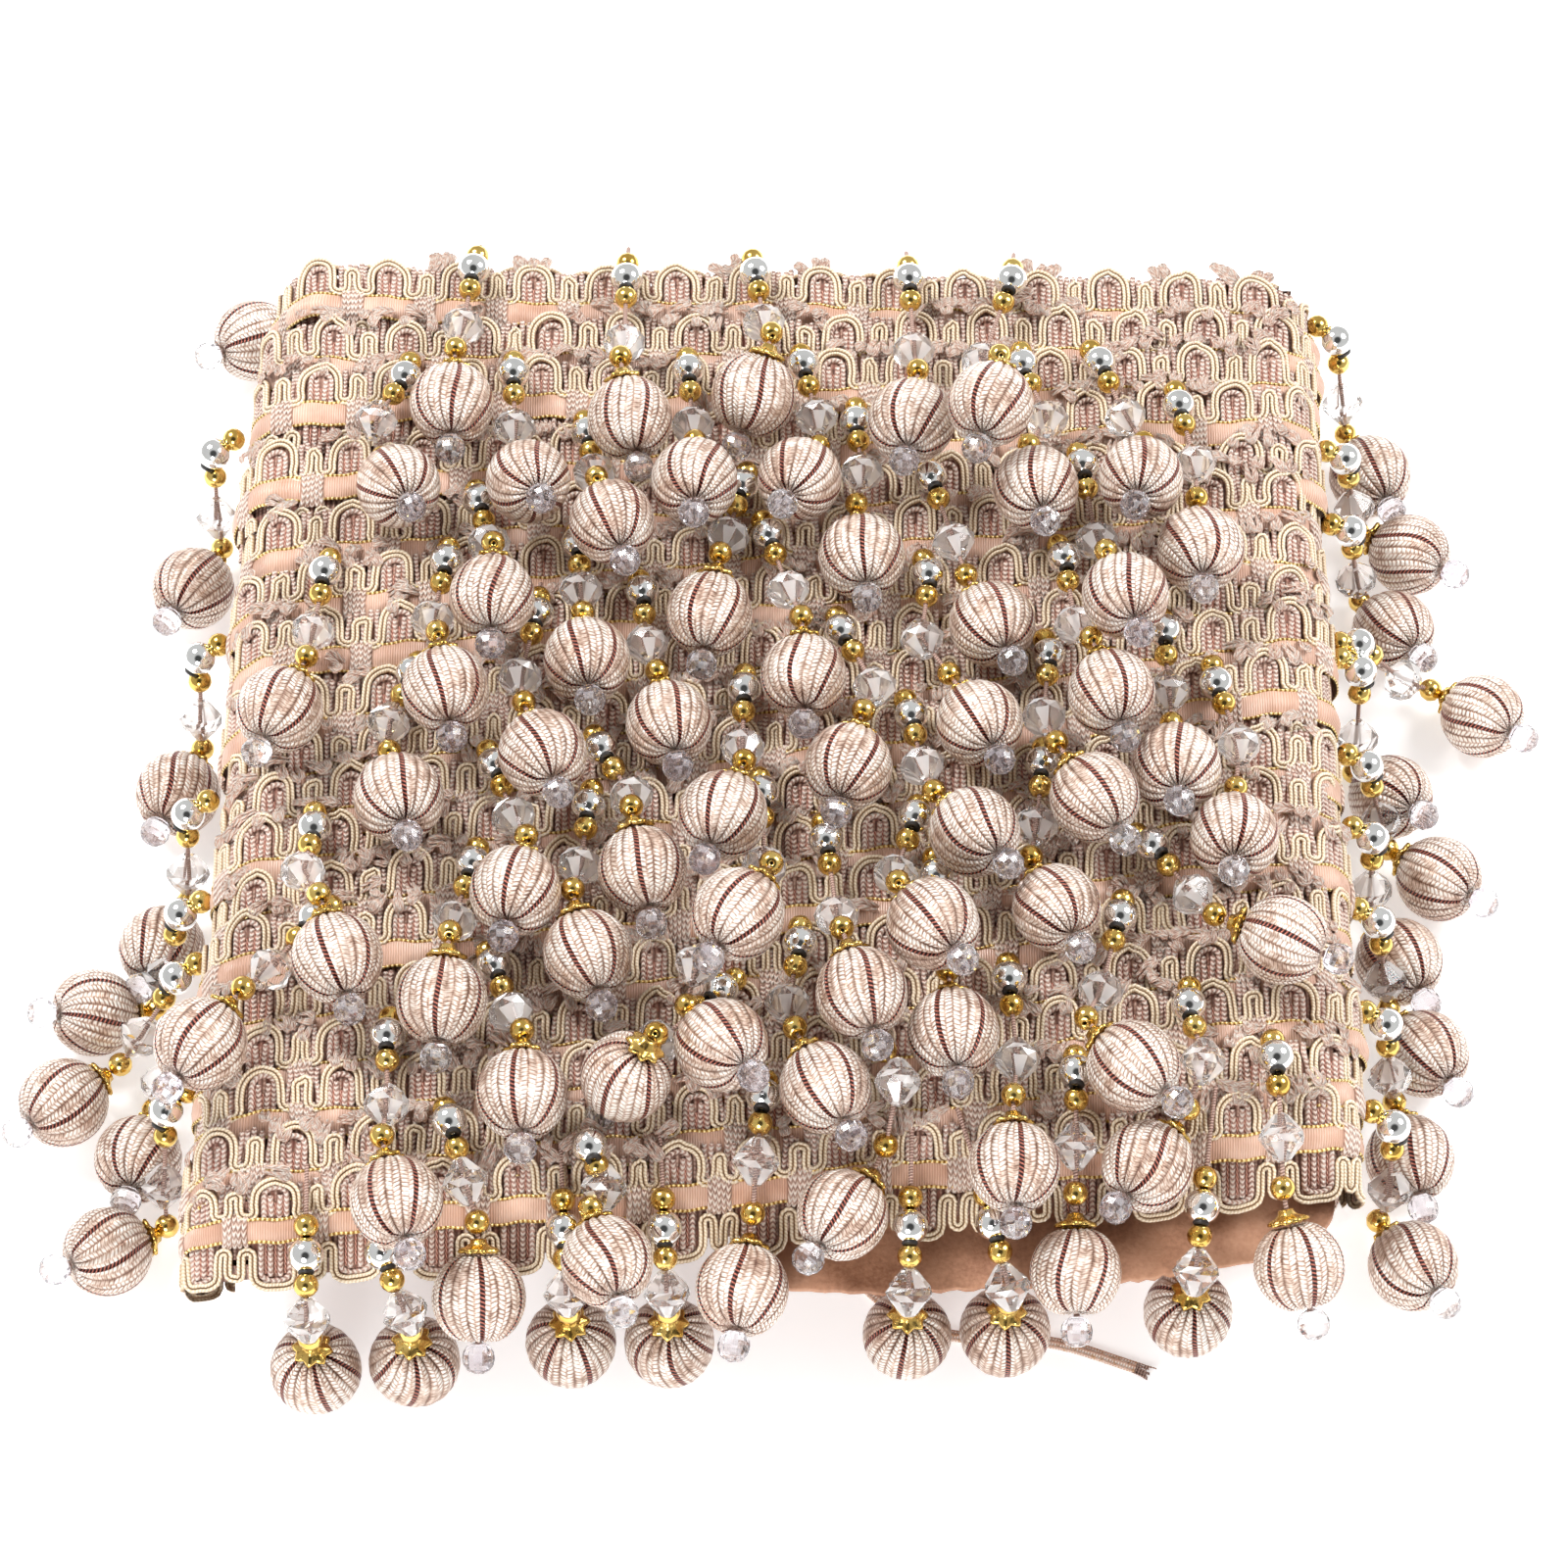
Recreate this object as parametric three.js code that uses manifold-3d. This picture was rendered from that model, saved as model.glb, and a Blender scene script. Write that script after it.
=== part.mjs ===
// Beaded fringe trim, about twelve yards of it wound flat in eighteen shingled turns,
// lying on its back. Each turn shows its upper edge, and its drops come out at the
// upper edge of the next turn and lie over the turns below.
// Millimetres, +Z up, +Y towards the upper edge of the first turn.
import * as THREE from 'three';
import { mergeVertices } from 'three/addons/utils/BufferGeometryUtils.js';
import Module from 'manifold-3d';

const wasm = await Module();
wasm.setup();

// The wound pack
const TOP = 52;          // top of the pack at the foot of each step
const STEP = 3;          // height of the upper edge of each turn above that
const UNDER = 24;        // underside of the pack, above the drops of its back
const LIP_TOP = 40;      // lower edge of the last turn, which slopes to the front
const LIP_UNDER = 35;
const CORNER = 15;       // how far in from each end the fold begins to round off
const GAP = 0.35;
const FOOT = { left: -111, right: 113, front: -116, rear: 120 };   // the part on the floor

// One row for each turn: where its upper edge meets x = -125 and x = 131,
// and how far its folds reach to the left and right.
const turns = [
  { left: 149, right: 144, from: -134, to: 143 },
  { left: 126, right: 130, from: -138, to: 144 },
  { left: 111, right: 118, from: -139, to: 144 },
  { left: 86, right: 106, from: -141, to: 143 },
  { left: 65, right: 89, from: -139, to: 144 },
  { left: 48, right: 77, from: -141, to: 142 },
  { left: 31, right: 61, from: -140, to: 143 },
  { left: 11, right: 47, from: -141, to: 143 },
  { left: -5, right: 35, from: -139, to: 144 },
  { left: -18, right: 20, from: -140, to: 142 },
  { left: -30, right: -2, from: -141, to: 143 },
  { left: -45, right: -16, from: -140, to: 142 },
  { left: -58, right: -31, from: -142, to: 144 },
  { left: -76, right: -48, from: -141, to: 143 },
  { left: -90, right: -63, from: -142, to: 142 },
  { left: -103, right: -76, from: -141, to: 144 },
  { left: -118, right: -92, from: -143, to: 143 },
  { left: -132, right: -107, from: -142, to: 142 },
];
const lowerEdge = { left: -157, right: -131 };

// The drop: a string of beads, a wrapped ball and a small bead at its end. back is how
// far the middle of each bead lies behind the middle of the ball.
const BALL = 11.5;
const END_BEAD = { centre: 14.3, radius: 4 };
const STRING = 1.1;
const beads = [
  { name: 'silver', back: 41.8, radius: 4.2 },
  { name: 'clear', back: 26.3, radius: 5.2 },
];
const NECK = { back: 14.4, radius: 3.2 };
const REACH = 48.8;      // from the root to the middle of the ball

// Drops that lie on the pack. turn is the turn that they hang from, root the x where
// they come out, x and y the middle of the ball when it lies just on the pack, yaw
// and nod the direction of its far end, in degrees.
const onPack = {
  columns: ['turn', 'root', 'x', 'y', 'yaw', 'nod'],
  rows: [
    [0, -80, -87, 89, 0, 0], [0, -40, -38, 86, 10, -10], [0, -7, -6, 94, -20, -25],
    [0, 35, 35, 85, -8, 8], [0, 64, 55, 89, -15, 0],
    [2, -97, -98, 65, 20, 30], [2, -70, -64, 66, 20, 35], [2, -24, -21, 66, 0, 20],
    [2, 6, 6, 66, -20, 25], [2, 65, 67, 64, 8, 18], [2, 82, 94, 66, -10, 25],
    [3, -51, -42, 53, 15, 10], [3, 21, 22, 43, 5, 8], [3, 105, 109, 45, 0, 12],
    [4, -79, -72, 25, 0, 0], [4, -7, -19, 25, -8, -8], [4, 37, 55, 21, 20, 12],
    [4, 78, 88, 30, 12, 15],
    [5, -115, -125, -4, -20, 5], [5, -85, -83, 2, 8, 0], [5, -52, -48, 11, 5, 12],
    [5, -5, 7, 2, 0, 0],
    [6, -61, -58, -17, 18, 12], [6, -36, -27, -8, 10, 8], [6, 37, 48, -8, 20, 15],
    [6, 72, 84, -2, 12, 5],
    [7, -91, -94, -30, 12, 16], [7, 15, 18, -21, -12, 4],
    [8, -8, -17, -35, -18, 5], [8, 68, 79, -30, 30, 0], [8, 99, 101, -21, 0, 22],
    [9, -74, -64, -59, -10, 8], [9, -47, -38, -51, 10, -10], [9, 32, 49, -40, 35, 15],
    [9, 111, 113, -42, -5, 22],
    [10, -116, -107, -76, 15, -5], [10, -46, -46, -75, 15, -6], [10, -5, -9, -63, -30, 0],
    [10, 68, 69, -63, 22, 12],
    [11, -74, -81, -88, -5, -15], [11, 11, 20, -86, 15, -5], [11, 36, 37, -66, 30, 15],
    [12, -108, -139, -100, -30, 0], [12, 39, 43, -97, 3, 5], [12, 88, 124, -71, 68, 0],
    [13, -72, -61, -114, 0, -3], [13, -11, -13, -100, 35, 20], [13, 6, 13, -112, 25, 0],
    [13, 87, 86, -106, 45, 2],
    [14, -94, -90, -143, 15, 0], [14, -8, -36, -112, -60, -60], [14, 57, 57, -134, 0, -5],
    [15, 26, 16, -148, -35, 0], [15, 102, 88, -133, -35, 4],
    [16, -81, -71, -171, 0, -30], [16, -2, -8, -169, -8, -6], [16, 73, 72, -164, 0, -20],
    [16, 121, 126, -163, 16, -30],
    [17, -45, -40, -160, 15, 4],
  ],
};

// Drops that hang over the lower edge of the last turn and stand on the floor.
const overEdge = {
  columns: ['turn', 'root', 'x', 'y'],
  rows: [
    [17, -113, -112, -165], [17, -104, -88, -163], [17, -52, -50, -158],
    [17, -28, -26, -158], [17, 33, 32, -156], [17, 44, 56, -155], [17, 107, 101, -150],
  ],
};

// Drops that come out of the folds and lie on the floor beside the pack. side is -1 for
// the left and 1 for the right, root the y where they come out, x and y the middle of the
// ball, yaw and nod its far end.
const besidePack = {
  columns: ['side', 'root', 'x', 'y', 'yaw', 'nod'],
  rows: [
    [-1, 100, -157, 69, -25, 12], [-1, 34, -157, 4, -20, 10], [-1, -14, -158, -43, -20, 10],
    [-1, -44, -174, -62, -75, 25], [-1, -62, -180, -88, -50, 5], [-1, -78, -160, -104, -8, 14],
    [-1, -98, -166, -130, -61, 15],
    [1, 138, 162, 106, 20, 10], [1, 96, 171, 80, 55, 10], [1, 72, 165, 55, 30, 20],
    [1, 34, 187, 28, 45, 18], [1, 30, 161, 3, 36, 30], [1, 0, 172, -22, 50, 12],
    [1, -22, 160, -47, 25, 5], [1, -46, 165, -74, 31, 8], [1, -76, 159, -104, 10, 0],
    [1, -104, 158, -134, 29, 15],
  ],
};

// Drops of the back, which lie on the floor under the edge of the pack. wall is the side
// of the foot of the pack that they start from, and root the place along it.
const underPack = {
  columns: ['wall', 'root', 'x', 'y', 'yaw', 'nod'],
  rows: [
    ['left', 114, -145, 152, -60, 10], ['left', 62, -127, 96, -170, 0], ['left', 42, -127, 28, -25, 0],
    ['left', -12, -127, -30, -40, 0], ['left', -66, -128, -86, -40, 0],
    ['right', 80, 131, 124, 175, 0], ['right', 52, 130, 30, 35, 0], ['right', 4, 129, -18, 35, 0],
    ['right', -44, 130, -66, 35, 0], ['right', -80, 130, -112, 10, 0],
    ['rear', -96, -100, 147, -170, 0], ['rear', -30, -44, 148, -160, 0], ['rear', 18, 10, 149, -175, 0],
    ['rear', 60, 72, 147, 165, 0],
  ],
};

const named = (table) => table.rows.map((row) =>
  Object.fromEntries(table.columns.map((name, i) => [name, row[i]])));
const mix = (a, b, t) => a + (b - a) * t;
const degrees = (a) => (a * Math.PI) / 180;

// Upper edge of turn k (counted from 1) at x
function edge(k, x) {
  const row = k > turns.length ? lowerEdge : turns[k - 1];
  return mix(row.left, row.right, (x + 125) / 256);
}

// Front edge of the card below the last turn, at x
function cardEdge(x) {
  if (x < 26) return mix(-151, -152.5, (x + 6) / 32);
  if (x < 88) return mix(-152.5, -149, (x - 26) / 62);
  return mix(-149, -142, (x - 88) / 38);
}

// Height of the pack, or of the strips that lie on it, at x and y
function surface(x, y, strips) {
  if (x < -139 || x > 142 || y > edge(1, x) + (strips ? 3.5 : 0)) return -100;
  if (y < edge(turns.length + 1, x)) return x > -8 && x < 138 && y > cardEdge(x) - 1 ? LIP_UNDER + 1 : -100;
  let k = 1;
  while (k < turns.length && y < edge(k + 1, x)) k += 1;
  if (strips && k < turns.length && y < edge(k + 1, x) + 3.4) return TOP + 4.6;
  const t = (edge(k, x) - y) / (edge(k, x) - edge(k + 1, x));
  if (k === turns.length) return mix(TOP + STEP, LIP_TOP, t);
  return TOP + STEP - (STEP + 0.5) * Math.max(0, t);
}

function solid(points, faces) {
  return new wasm.Manifold(new wasm.Mesh({
    numProp: 3,
    vertProperties: new Float32Array(points.flat()),
    triVerts: new Uint32Array(faces.flat()),
  }));
}

function geometry(manifold) {
  const mesh = manifold.getMesh();
  const g = new THREE.BufferGeometry();
  g.setAttribute('position', new THREE.BufferAttribute(mesh.vertProperties, 3));
  g.setIndex(new THREE.BufferAttribute(mesh.triVerts, 1));
  return g;
}

// A closed body through rings. A ring has as many points as the one before it, or half
// or twice as many.
function loft(rings) {
  const points = rings.flat();
  const faces = [];
  let start = 0;
  for (let i = 0; i + 1 < rings.length; i += 1) {
    const low = rings[i].length, high = rings[i + 1].length, next = start + low;
    for (let j = 0; j < Math.min(low, high); j += 1) {
      const a = (k) => start + (k % low), b = (k) => next + (k % high);
      if (low === high) faces.push([a(j), a(j + 1), b(j + 1)], [a(j), b(j + 1), b(j)]);
      else if (low < high) {
        faces.push([a(j), b(2 * j + 1), b(2 * j)], [a(j), b(2 * j + 2), b(2 * j + 1)],
          [a(j), a(j + 1), b(2 * j + 2)]);
      } else {
        faces.push([a(2 * j), a(2 * j + 1), b(j)], [a(2 * j + 1), a(2 * j + 2), b(j)],
          [a(2 * j + 2), b(j + 1), b(j)]);
      }
    }
    start = next;
  }
  for (let j = 1; j + 1 < rings[0].length; j += 1) faces.push([0, j + 1, j]);
  for (let j = 1; j + 1 < rings.at(-1).length; j += 1) faces.push([start, start + j, start + j + 1]);
  return solid(points, faces);
}

// Rings round a path. Each stop is { at: Vector3, r, sides }, sides being 4 or 8.
function tube(stops) {
  const rings = [];
  let across = new THREE.Vector3(1, 0, 0);
  stops.forEach((stop, i) => {
    const before = stops[Math.max(0, i - 1)].at, after = stops[Math.min(stops.length - 1, i + 1)].at;
    const along = after.clone().sub(before).normalize();
    across = across.clone().addScaledVector(along, -across.dot(along)).normalize();
    const up = new THREE.Vector3().crossVectors(along, across);
    rings.push(Array.from({ length: stop.sides }, (_, j) => {
      const a = (2 * Math.PI * (j + 0.5)) / stop.sides;
      return stop.at.clone().addScaledVector(across, stop.r * Math.cos(a))
        .addScaledVector(up, stop.r * Math.sin(a)).toArray();
    }));
  });
  return loft(rings);
}

function direction(yaw, nod) {
  const a = degrees(yaw), b = degrees(nod);
  return new THREE.Vector3(Math.sin(a) * Math.cos(b), -Math.cos(a) * Math.cos(b), Math.sin(b));
}

// What has been laid down so far, as spheres, so that later drops lie on it
const laid = [];
const clear = (at, r) => laid.every((s) => s.at.distanceTo(at) > s.r + r + GAP + 0.15);

// Places under a round thing at which its height over the surface is checked
const pad = [[0, 0]];
for (const [ring, count] of [[0.25, 6], [0.5, 10], [0.75, 14], [0.92, 16]]) {
  for (let i = 0; i < count; i += 1) {
    pad.push([ring * Math.cos((2 * Math.PI * i) / count), ring * Math.sin((2 * Math.PI * i) / count)]);
  }
}

function overSurface(at, r) {
  return pad.every(([dx, dy]) => at.z - r * Math.sqrt(1 - dx * dx - dy * dy)
    >= surface(at.x + dx * r, at.y + dy * r, true) + 0.5);
}

// A ball moves aside a little, or rises until it lies clear. It moves to the front as it
// rises. Aside counts for more than height.
const aside = [[0, 0]];
for (const far of [1, 2, 3, 4, 5]) {
  for (let i = 0; i < 8; i += 1) {
    aside.push([far * Math.cos((Math.PI * i) / 4), far * Math.sin((Math.PI * i) / 4)]);
  }
}
const LEVEL = TOP + BALL + 1;

function settleBall(row) {
  const far = direction(row.yaw, row.nod);
  let best = null;
  aside.forEach(([dx, dy]) => {
    for (let z = LEVEL - 24; z < LEVEL + 30; z += 0.5) {
      const cost = 0.42 * z + Math.hypot(dx, dy);
      if (best && cost >= best.cost) break;
      const at = new THREE.Vector3(row.x + dx, row.y + dy - (z - LEVEL) * 0.625, z);
      const tip = at.clone().addScaledVector(far, END_BEAD.centre);
      const neck = at.clone().addScaledVector(far, -NECK.back);
      if (overSurface(at, BALL) && clear(at, BALL * 1.03) && overSurface(tip, END_BEAD.radius)
        && clear(tip, END_BEAD.radius) && overSurface(neck, NECK.radius) && clear(neck, NECK.radius)) {
        best = { at, far, cost };
        break;
      }
    }
  });
  if (!best) throw new Error(`no room for the drop at ${row.x}, ${row.y}`);
  return best;
}

// How far a bead at this spot would lift the balls that are still to come
function lift(at, r, later) {
  return later.reduce((sum, row) => {
    const flat = Math.hypot(at.x - row.x, at.y - row.y);
    const reach = BALL + r + GAP;
    if (flat >= reach) return sum;
    return sum + Math.max(0, at.z + Math.sqrt(reach * reach - flat * flat) - LEVEL);
  }, 0);
}

// Beads rise until the string between them is clear as well
function liftBetween(stops) {
  for (let i = 0; i + 1 < stops.length; i += 1) {
    for (let n = 0; n < 60; n += 1) {
      const free = [0.2, 0.4, 0.6, 0.8].every((t) => {
        const at = stops[i].at.clone().lerp(stops[i + 1].at, t);
        if (i === 0 && t < 0.5) return true;
        const r = mix(stops[i].r, stops[i + 1].r, t);
        return overSurface(at, r) && clear(at, r);
      });
      if (free) break;
      if (i > 0) stops[i].at.z += 0.3;
      if (i + 2 < stops.length) stops[i + 1].at.z += 0.3;
    }
  }
}

// The string of beads from the root to the ball: each bead rests on what lies below and
// gives way a little to the side where a ball will lie on it.
function layString(root, ball, far, later) {
  const neck = ball.clone().addScaledVector(far, -NECK.back);
  const stops = [{ at: root.clone(), r: STRING }];
  beads.forEach((bead) => {
    const t = 1 - (bead.back - NECK.back) / (REACH + 2 - NECK.back);
    let best = null;
    for (const dx of [0, 1.5, -1.5, 3, -3, 4.5, -4.5, 6, -6]) {
      const at = root.clone().lerp(neck, t);
      at.x += dx * (bead.name === 'silver' ? 0.4 : 1);
      at.z = TOP + bead.radius;
      while (!(overSurface(at, bead.radius) && clear(at, bead.radius))) at.z += 0.4;
      const cost = at.z + 0.45 * Math.abs(dx) + 0.5 * lift(at, bead.radius, later);
      if (!best || cost < best.cost) best = { at, cost };
    }
    stops.push({ at: best.at, r: bead.radius });
  });
  stops.push({ at: neck, r: NECK.radius });
  liftBetween(stops);
  return stops;
}

// A whole drop: the string with four sides, the ball with eight and its end bead
function drop(stops, ball, far) {
  const string = stops.map((s) => ({ at: s.at, r: s.r * 1.08, sides: 4 }));
  const on = (along, r, sides) => ({ at: ball.clone().addScaledVector(far, along), r, sides });
  const body = [-66, -24, 24, 66].map((lat) =>
    on(BALL * Math.sin(degrees(lat)), BALL * 1.02 * Math.cos(degrees(lat)), 8));
  const end = [on(BALL - 0.4, 2.2, 4), on(END_BEAD.centre, END_BEAD.radius, 4),
    on(END_BEAD.centre + 3.6, 1.6, 4)];
  return tube([...string, ...body, ...end]);
}

function remember(stops, ball, far) {
  laid.push({ at: ball, r: BALL * 1.03 });
  laid.push({ at: ball.clone().addScaledVector(far, END_BEAD.centre), r: END_BEAD.radius });
  for (let i = 0; i + 1 < stops.length; i += 1) {
    laid.push({ at: stops[i].at, r: stops[i].r });
    laid.push({ at: stops[i].at.clone().lerp(stops[i + 1].at, 0.5),
      r: (stops[i].r + stops[i + 1].r) / 2 });
  }
}

const object = new THREE.Group();
function piece(name, manifold, color, roughness = 0.8, metalness = 0) {
  const mesh = new THREE.Mesh(geometry(manifold), new THREE.MeshStandardMaterial({ color, roughness, metalness }));
  mesh.name = name;
  object.add(mesh);
}

// The wound pack: rings across it, two at each step, and a lower part on the floor
function packRing(k, t, top, under) {
  const row = turns[Math.min(k, turns.length) - 1];
  const a = row.from, b = row.to, high = top - under;
  const outline = [
    [a + CORNER, top], [mix(a, b, 0.35), top], [mix(a, b, 0.65), top], [b - CORNER, top],
    [b - 5, top - 0.1 * high], [b - 0.6, top - 0.32 * high], [b, top - 0.6 * high], [b - 5, under + 0.12 * high],
    [b - CORNER, under], [a + CORNER, under],
    [a + 5, under + 0.12 * high], [a, top - 0.6 * high], [a + 0.6, top - 0.32 * high], [a + 5, top - 0.1 * high],
  ];
  return outline.map(([x, z]) => {
    const y = mix(edge(k, x), edge(k + 1, x), t);
    return [x, y, z];
  });
}

function woundPack() {
  const rings = [];
  for (let k = 1; k <= turns.length; k += 1) {
    rings.push(packRing(k, 0, TOP + STEP - (k === 1 ? 1.5 : 0), k === 1 ? UNDER + 6 : UNDER));
    if (k < turns.length) rings.push(packRing(k, 0.965, TOP - 0.4, UNDER));
  }
  const last = turns.length;
  rings.push(packRing(last, 0.35, mix(TOP + STEP, LIP_TOP, 0.32), LIP_UNDER - 5));
  rings.push(packRing(last, 0.5, mix(TOP + STEP, LIP_TOP, 0.5), LIP_UNDER));
  rings.push(packRing(last, 1, LIP_TOP, LIP_UNDER));
  const pack = loft(rings.map((ring) => ring.slice().reverse()));
  const foot = new THREE.BoxGeometry(FOOT.right - FOOT.left, FOOT.rear - FOOT.front, UNDER + 4);
  foot.translate((FOOT.right + FOOT.left) / 2, (FOOT.rear + FOOT.front) / 2, (UNDER + 4) / 2);
  foot.deleteAttribute('normal');
  foot.deleteAttribute('uv');
  const box = mergeVertices(foot);
  return pack.add(new wasm.Manifold(new wasm.Mesh({ numProp: 3,
    vertProperties: box.attributes.position.array, triVerts: new Uint32Array(box.index.array) })));
}
piece('wound_braid', woundPack(), 0xd7b4a5);

// A bar from one point to another, wide across and high upwards
function bar(from, to, wide, high) {
  const along = to.clone().sub(from).normalize();
  const across = new THREE.Vector3(-along.y, along.x, 0).normalize().multiplyScalar(wide / 2);
  const ring = (p) => [[1, 0], [-1, 0], [-1, 1], [1, 1]].map(([s, u]) =>
    p.clone().addScaledVector(across, s).add(new THREE.Vector3(0, 0, u * high)).toArray());
  return loft([ring(to), ring(from)]);
}

// Drops that hang over the front edge: they stand upright on the floor
const UPRIGHT = END_BEAD.centre + 3.8;
function frontDrops() {
  return named(overEdge).map((row) => {
    const ball = new THREE.Vector3(row.x, row.y, UPRIGHT);
    const far = new THREE.Vector3(0, 0, -1);
    const lip = edge(turns.length + 1, row.x);
    const y0 = edge(turns.length, row.root);
    const ahead = Math.min(row.y, lip - 5.5, row.x > -12 ? cardEdge(row.x) - 5.5 : 0);
    const root = new THREE.Vector3(row.root, y0 + 2, TOP + 3.9);
    const at = new THREE.Vector3(mix(row.root, row.x, 0.35), mix(y0, lip, 0.42), 0);
    at.z = surface(at.x, at.y, false) + 5.6;
    const brow = new THREE.Vector3(mix(row.root, row.x, 0.04), y0 - 0.6, TOP + STEP + 2.2);
    const stops = [{ at: root, r: STRING }, { at: brow, r: 1.4 }, { at, r: 4.2 },
      { at: new THREE.Vector3(mix(row.root, row.x, 0.8), mix(lip, ahead, 0.5), LIP_TOP + 6.5), r: 3.4 },
      { at: new THREE.Vector3(row.x, ahead, LIP_TOP - 1), r: 5.2 },
      { at: new THREE.Vector3(row.x, row.y, UPRIGHT + BALL + 1.6), r: 3.2 }];
    return { row, stops, ball, far };
  });
}

// Drops beside the pack: out of the fold, down to the floor and along it to the ball
const WALL = { left: -144.6, right: 146.2, high: 38 };
function sideDrops(side) {
  return named(besidePack).filter((row) => row.side === side).map((row) => {
    const far = direction(row.yaw, row.nod);
    const ball = new THREE.Vector3(row.x, row.y, BALL + 0.2);
    const neck = ball.clone().addScaledVector(far, -NECK.back);
    const wall = side < 0 ? WALL.left : WALL.right;
    const root = new THREE.Vector3(wall, row.root, WALL.high);
    const out = new THREE.Vector3(wall + side * 6, mix(row.root, neck.y, 0.22), WALL.high - 2);
    const middle = out.clone().lerp(neck, 0.55);
    middle.z = mix(out.z, neck.z, 0.68);
    middle.x = Math.max(Math.abs(middle.x), Math.abs(wall) + 6.5) * side;
    const stops = [{ at: root, r: STRING }, { at: out, r: 4.2 }, { at: middle, r: 5.2 },
      { at: neck, r: NECK.radius }];
    stops.forEach((s) => { s.at.z = Math.max(s.at.z, s.r + 0.4); });
    return { row, stops, ball, far };
  });
}

// Drops of the back: from the foot of the pack along the floor
function underDrops(wall) {
  const across = wall === 'rear' ? 'y' : 'x';
  const outward = wall === 'left' ? -1 : 1;
  return named(underPack).filter((row) => row.wall === wall).map((row) => {
    const far = direction(row.yaw, row.nod);
    const ball = new THREE.Vector3(row.x, row.y, BALL + 0.2);
    const neck = ball.clone().addScaledVector(far, -NECK.back);
    const root = new THREE.Vector3(row.root, row.root, 5.5);
    root[across] = FOOT[wall] + outward * 1.1;
    const stops = [{ at: root, r: STRING }];
    beads.forEach((bead) => {
      const at = root.clone().lerp(neck, 1 - (bead.back - NECK.back) / (REACH - NECK.back));
      at[across] = outward * Math.max(outward * at[across], outward * FOOT[wall] + bead.radius + 0.8);
      at.z = bead.radius + 0.4;
      stops.push({ at, r: bead.radius });
    });
    stops.push({ at: neck, r: NECK.radius });
    return { row, stops, ball, far };
  });
}

function underStrip(drops, wall) {
  const roots = drops.map((d) => d.row.root);
  const outward = wall === 'left' ? -1 : 1;
  const at = (along) => (wall === 'rear' ? new THREE.Vector3(along, FOOT.rear + 1.1, 3)
    : new THREE.Vector3(FOOT[wall] + outward * 1.1, along, 3));
  return bar(at(Math.min(...roots) - 4), at(Math.max(...roots) + 4), 1.4, 6);
}

function sideStrip(drops, side) {
  const wall = side < 0 ? WALL.left : WALL.right;
  const roots = drops.map((d) => d.row.root);
  const at = (y) => new THREE.Vector3(wall, y, WALL.high - 2.4);
  return bar(at(Math.min(...roots) - 4), at(Math.max(...roots) + 4), 1.6, 5);
}

const DROP_COLOR = 0xcdb4a5;
const sides = { left_fold_drops: -1, right_fold_drops: 1 };
for (const [name, side] of Object.entries(sides)) {
  const drops = sideDrops(side);
  drops.forEach((d) => remember(d.stops, d.ball, d.far));
  const all = drops.map((d) => drop(d.stops, d.ball, d.far));
  piece(name, all.reduce((sum, m) => sum.add(m), sideStrip(drops, side)), DROP_COLOR, 0.5);
}

for (const wall of ['left', 'right', 'rear']) {
  const drops = underDrops(wall);
  drops.forEach((d) => remember(d.stops, d.ball, d.far));
  const all = drops.map((d) => drop(d.stops, d.ball, d.far));
  piece(`back_drops_${wall}`, all.reduce((sum, m) => sum.add(m), underStrip(drops, wall)), DROP_COLOR, 0.5);
}

const front = frontDrops();
front.forEach((d) => remember(d.stops, d.ball, d.far));

// Turns from the last to the first, because the drops of upper turns lie on top
for (let turn = turns.length - 1; turn >= 0; turn -= 1) {
  const rows = named(onPack).filter((row) => row.turn === turn);
  const made = rows.map((row) => {
    const { at, far } = settleBall(row);
    const y = edge(turn + 1, row.root) + 2;
    const root = new THREE.Vector3(row.root, turn === 0 ? y + 0.6 : y, TOP + 3.9);
    const later = named(onPack).filter((other) => other.turn < turn);
    const stops = layString(root, at, far, later);
    remember(stops, at, far);
    return { row, stops, ball: at, far };
  });
  if (turn === turns.length - 1) made.push(...front);
  if (!made.length) continue;
  const roots = made.map((d) => d.row.root);
  const end = (x) => new THREE.Vector3(x, edge(turn + 1, x) + (turn === 0 ? 2.6 : 2), TOP + 1.1);
  const strip = bar(end(Math.min(...roots) - 4), end(Math.max(...roots) + 4), 2.4, 3.5);
  const name = `turn_${String(turn).padStart(2, '0')}_drops`;
  piece(name, made.reduce((sum, d) => sum.add(drop(d.stops, d.ball, d.far)), strip), DROP_COLOR, 0.5);
}

// The card on which the trim is wound, where it shows below the last turn
function card() {
  const shape = new THREE.Shape();
  const lip = (x) => edge(turns.length + 1, x);
  shape.moveTo(-6, lip(-6) + 10);
  for (const x of [-2, 26, 88, 116]) shape.lineTo(x, cardEdge(x));
  shape.quadraticCurveTo(137, -141, 137, -126);
  shape.lineTo(134, lip(134) + 10);
  shape.closePath();
  const g = new THREE.ExtrudeGeometry(shape, { depth: 1.5, bevelEnabled: false, curveSegments: 5 });
  g.translate(0, 0, LIP_UNDER - 0.35 - 1.5);
  const m = new THREE.Mesh(g, new THREE.MeshStandardMaterial({ color: 0xb98a68, roughness: 0.75 }));
  m.name = 'card';
  return m;
}
object.add(card());

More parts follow.
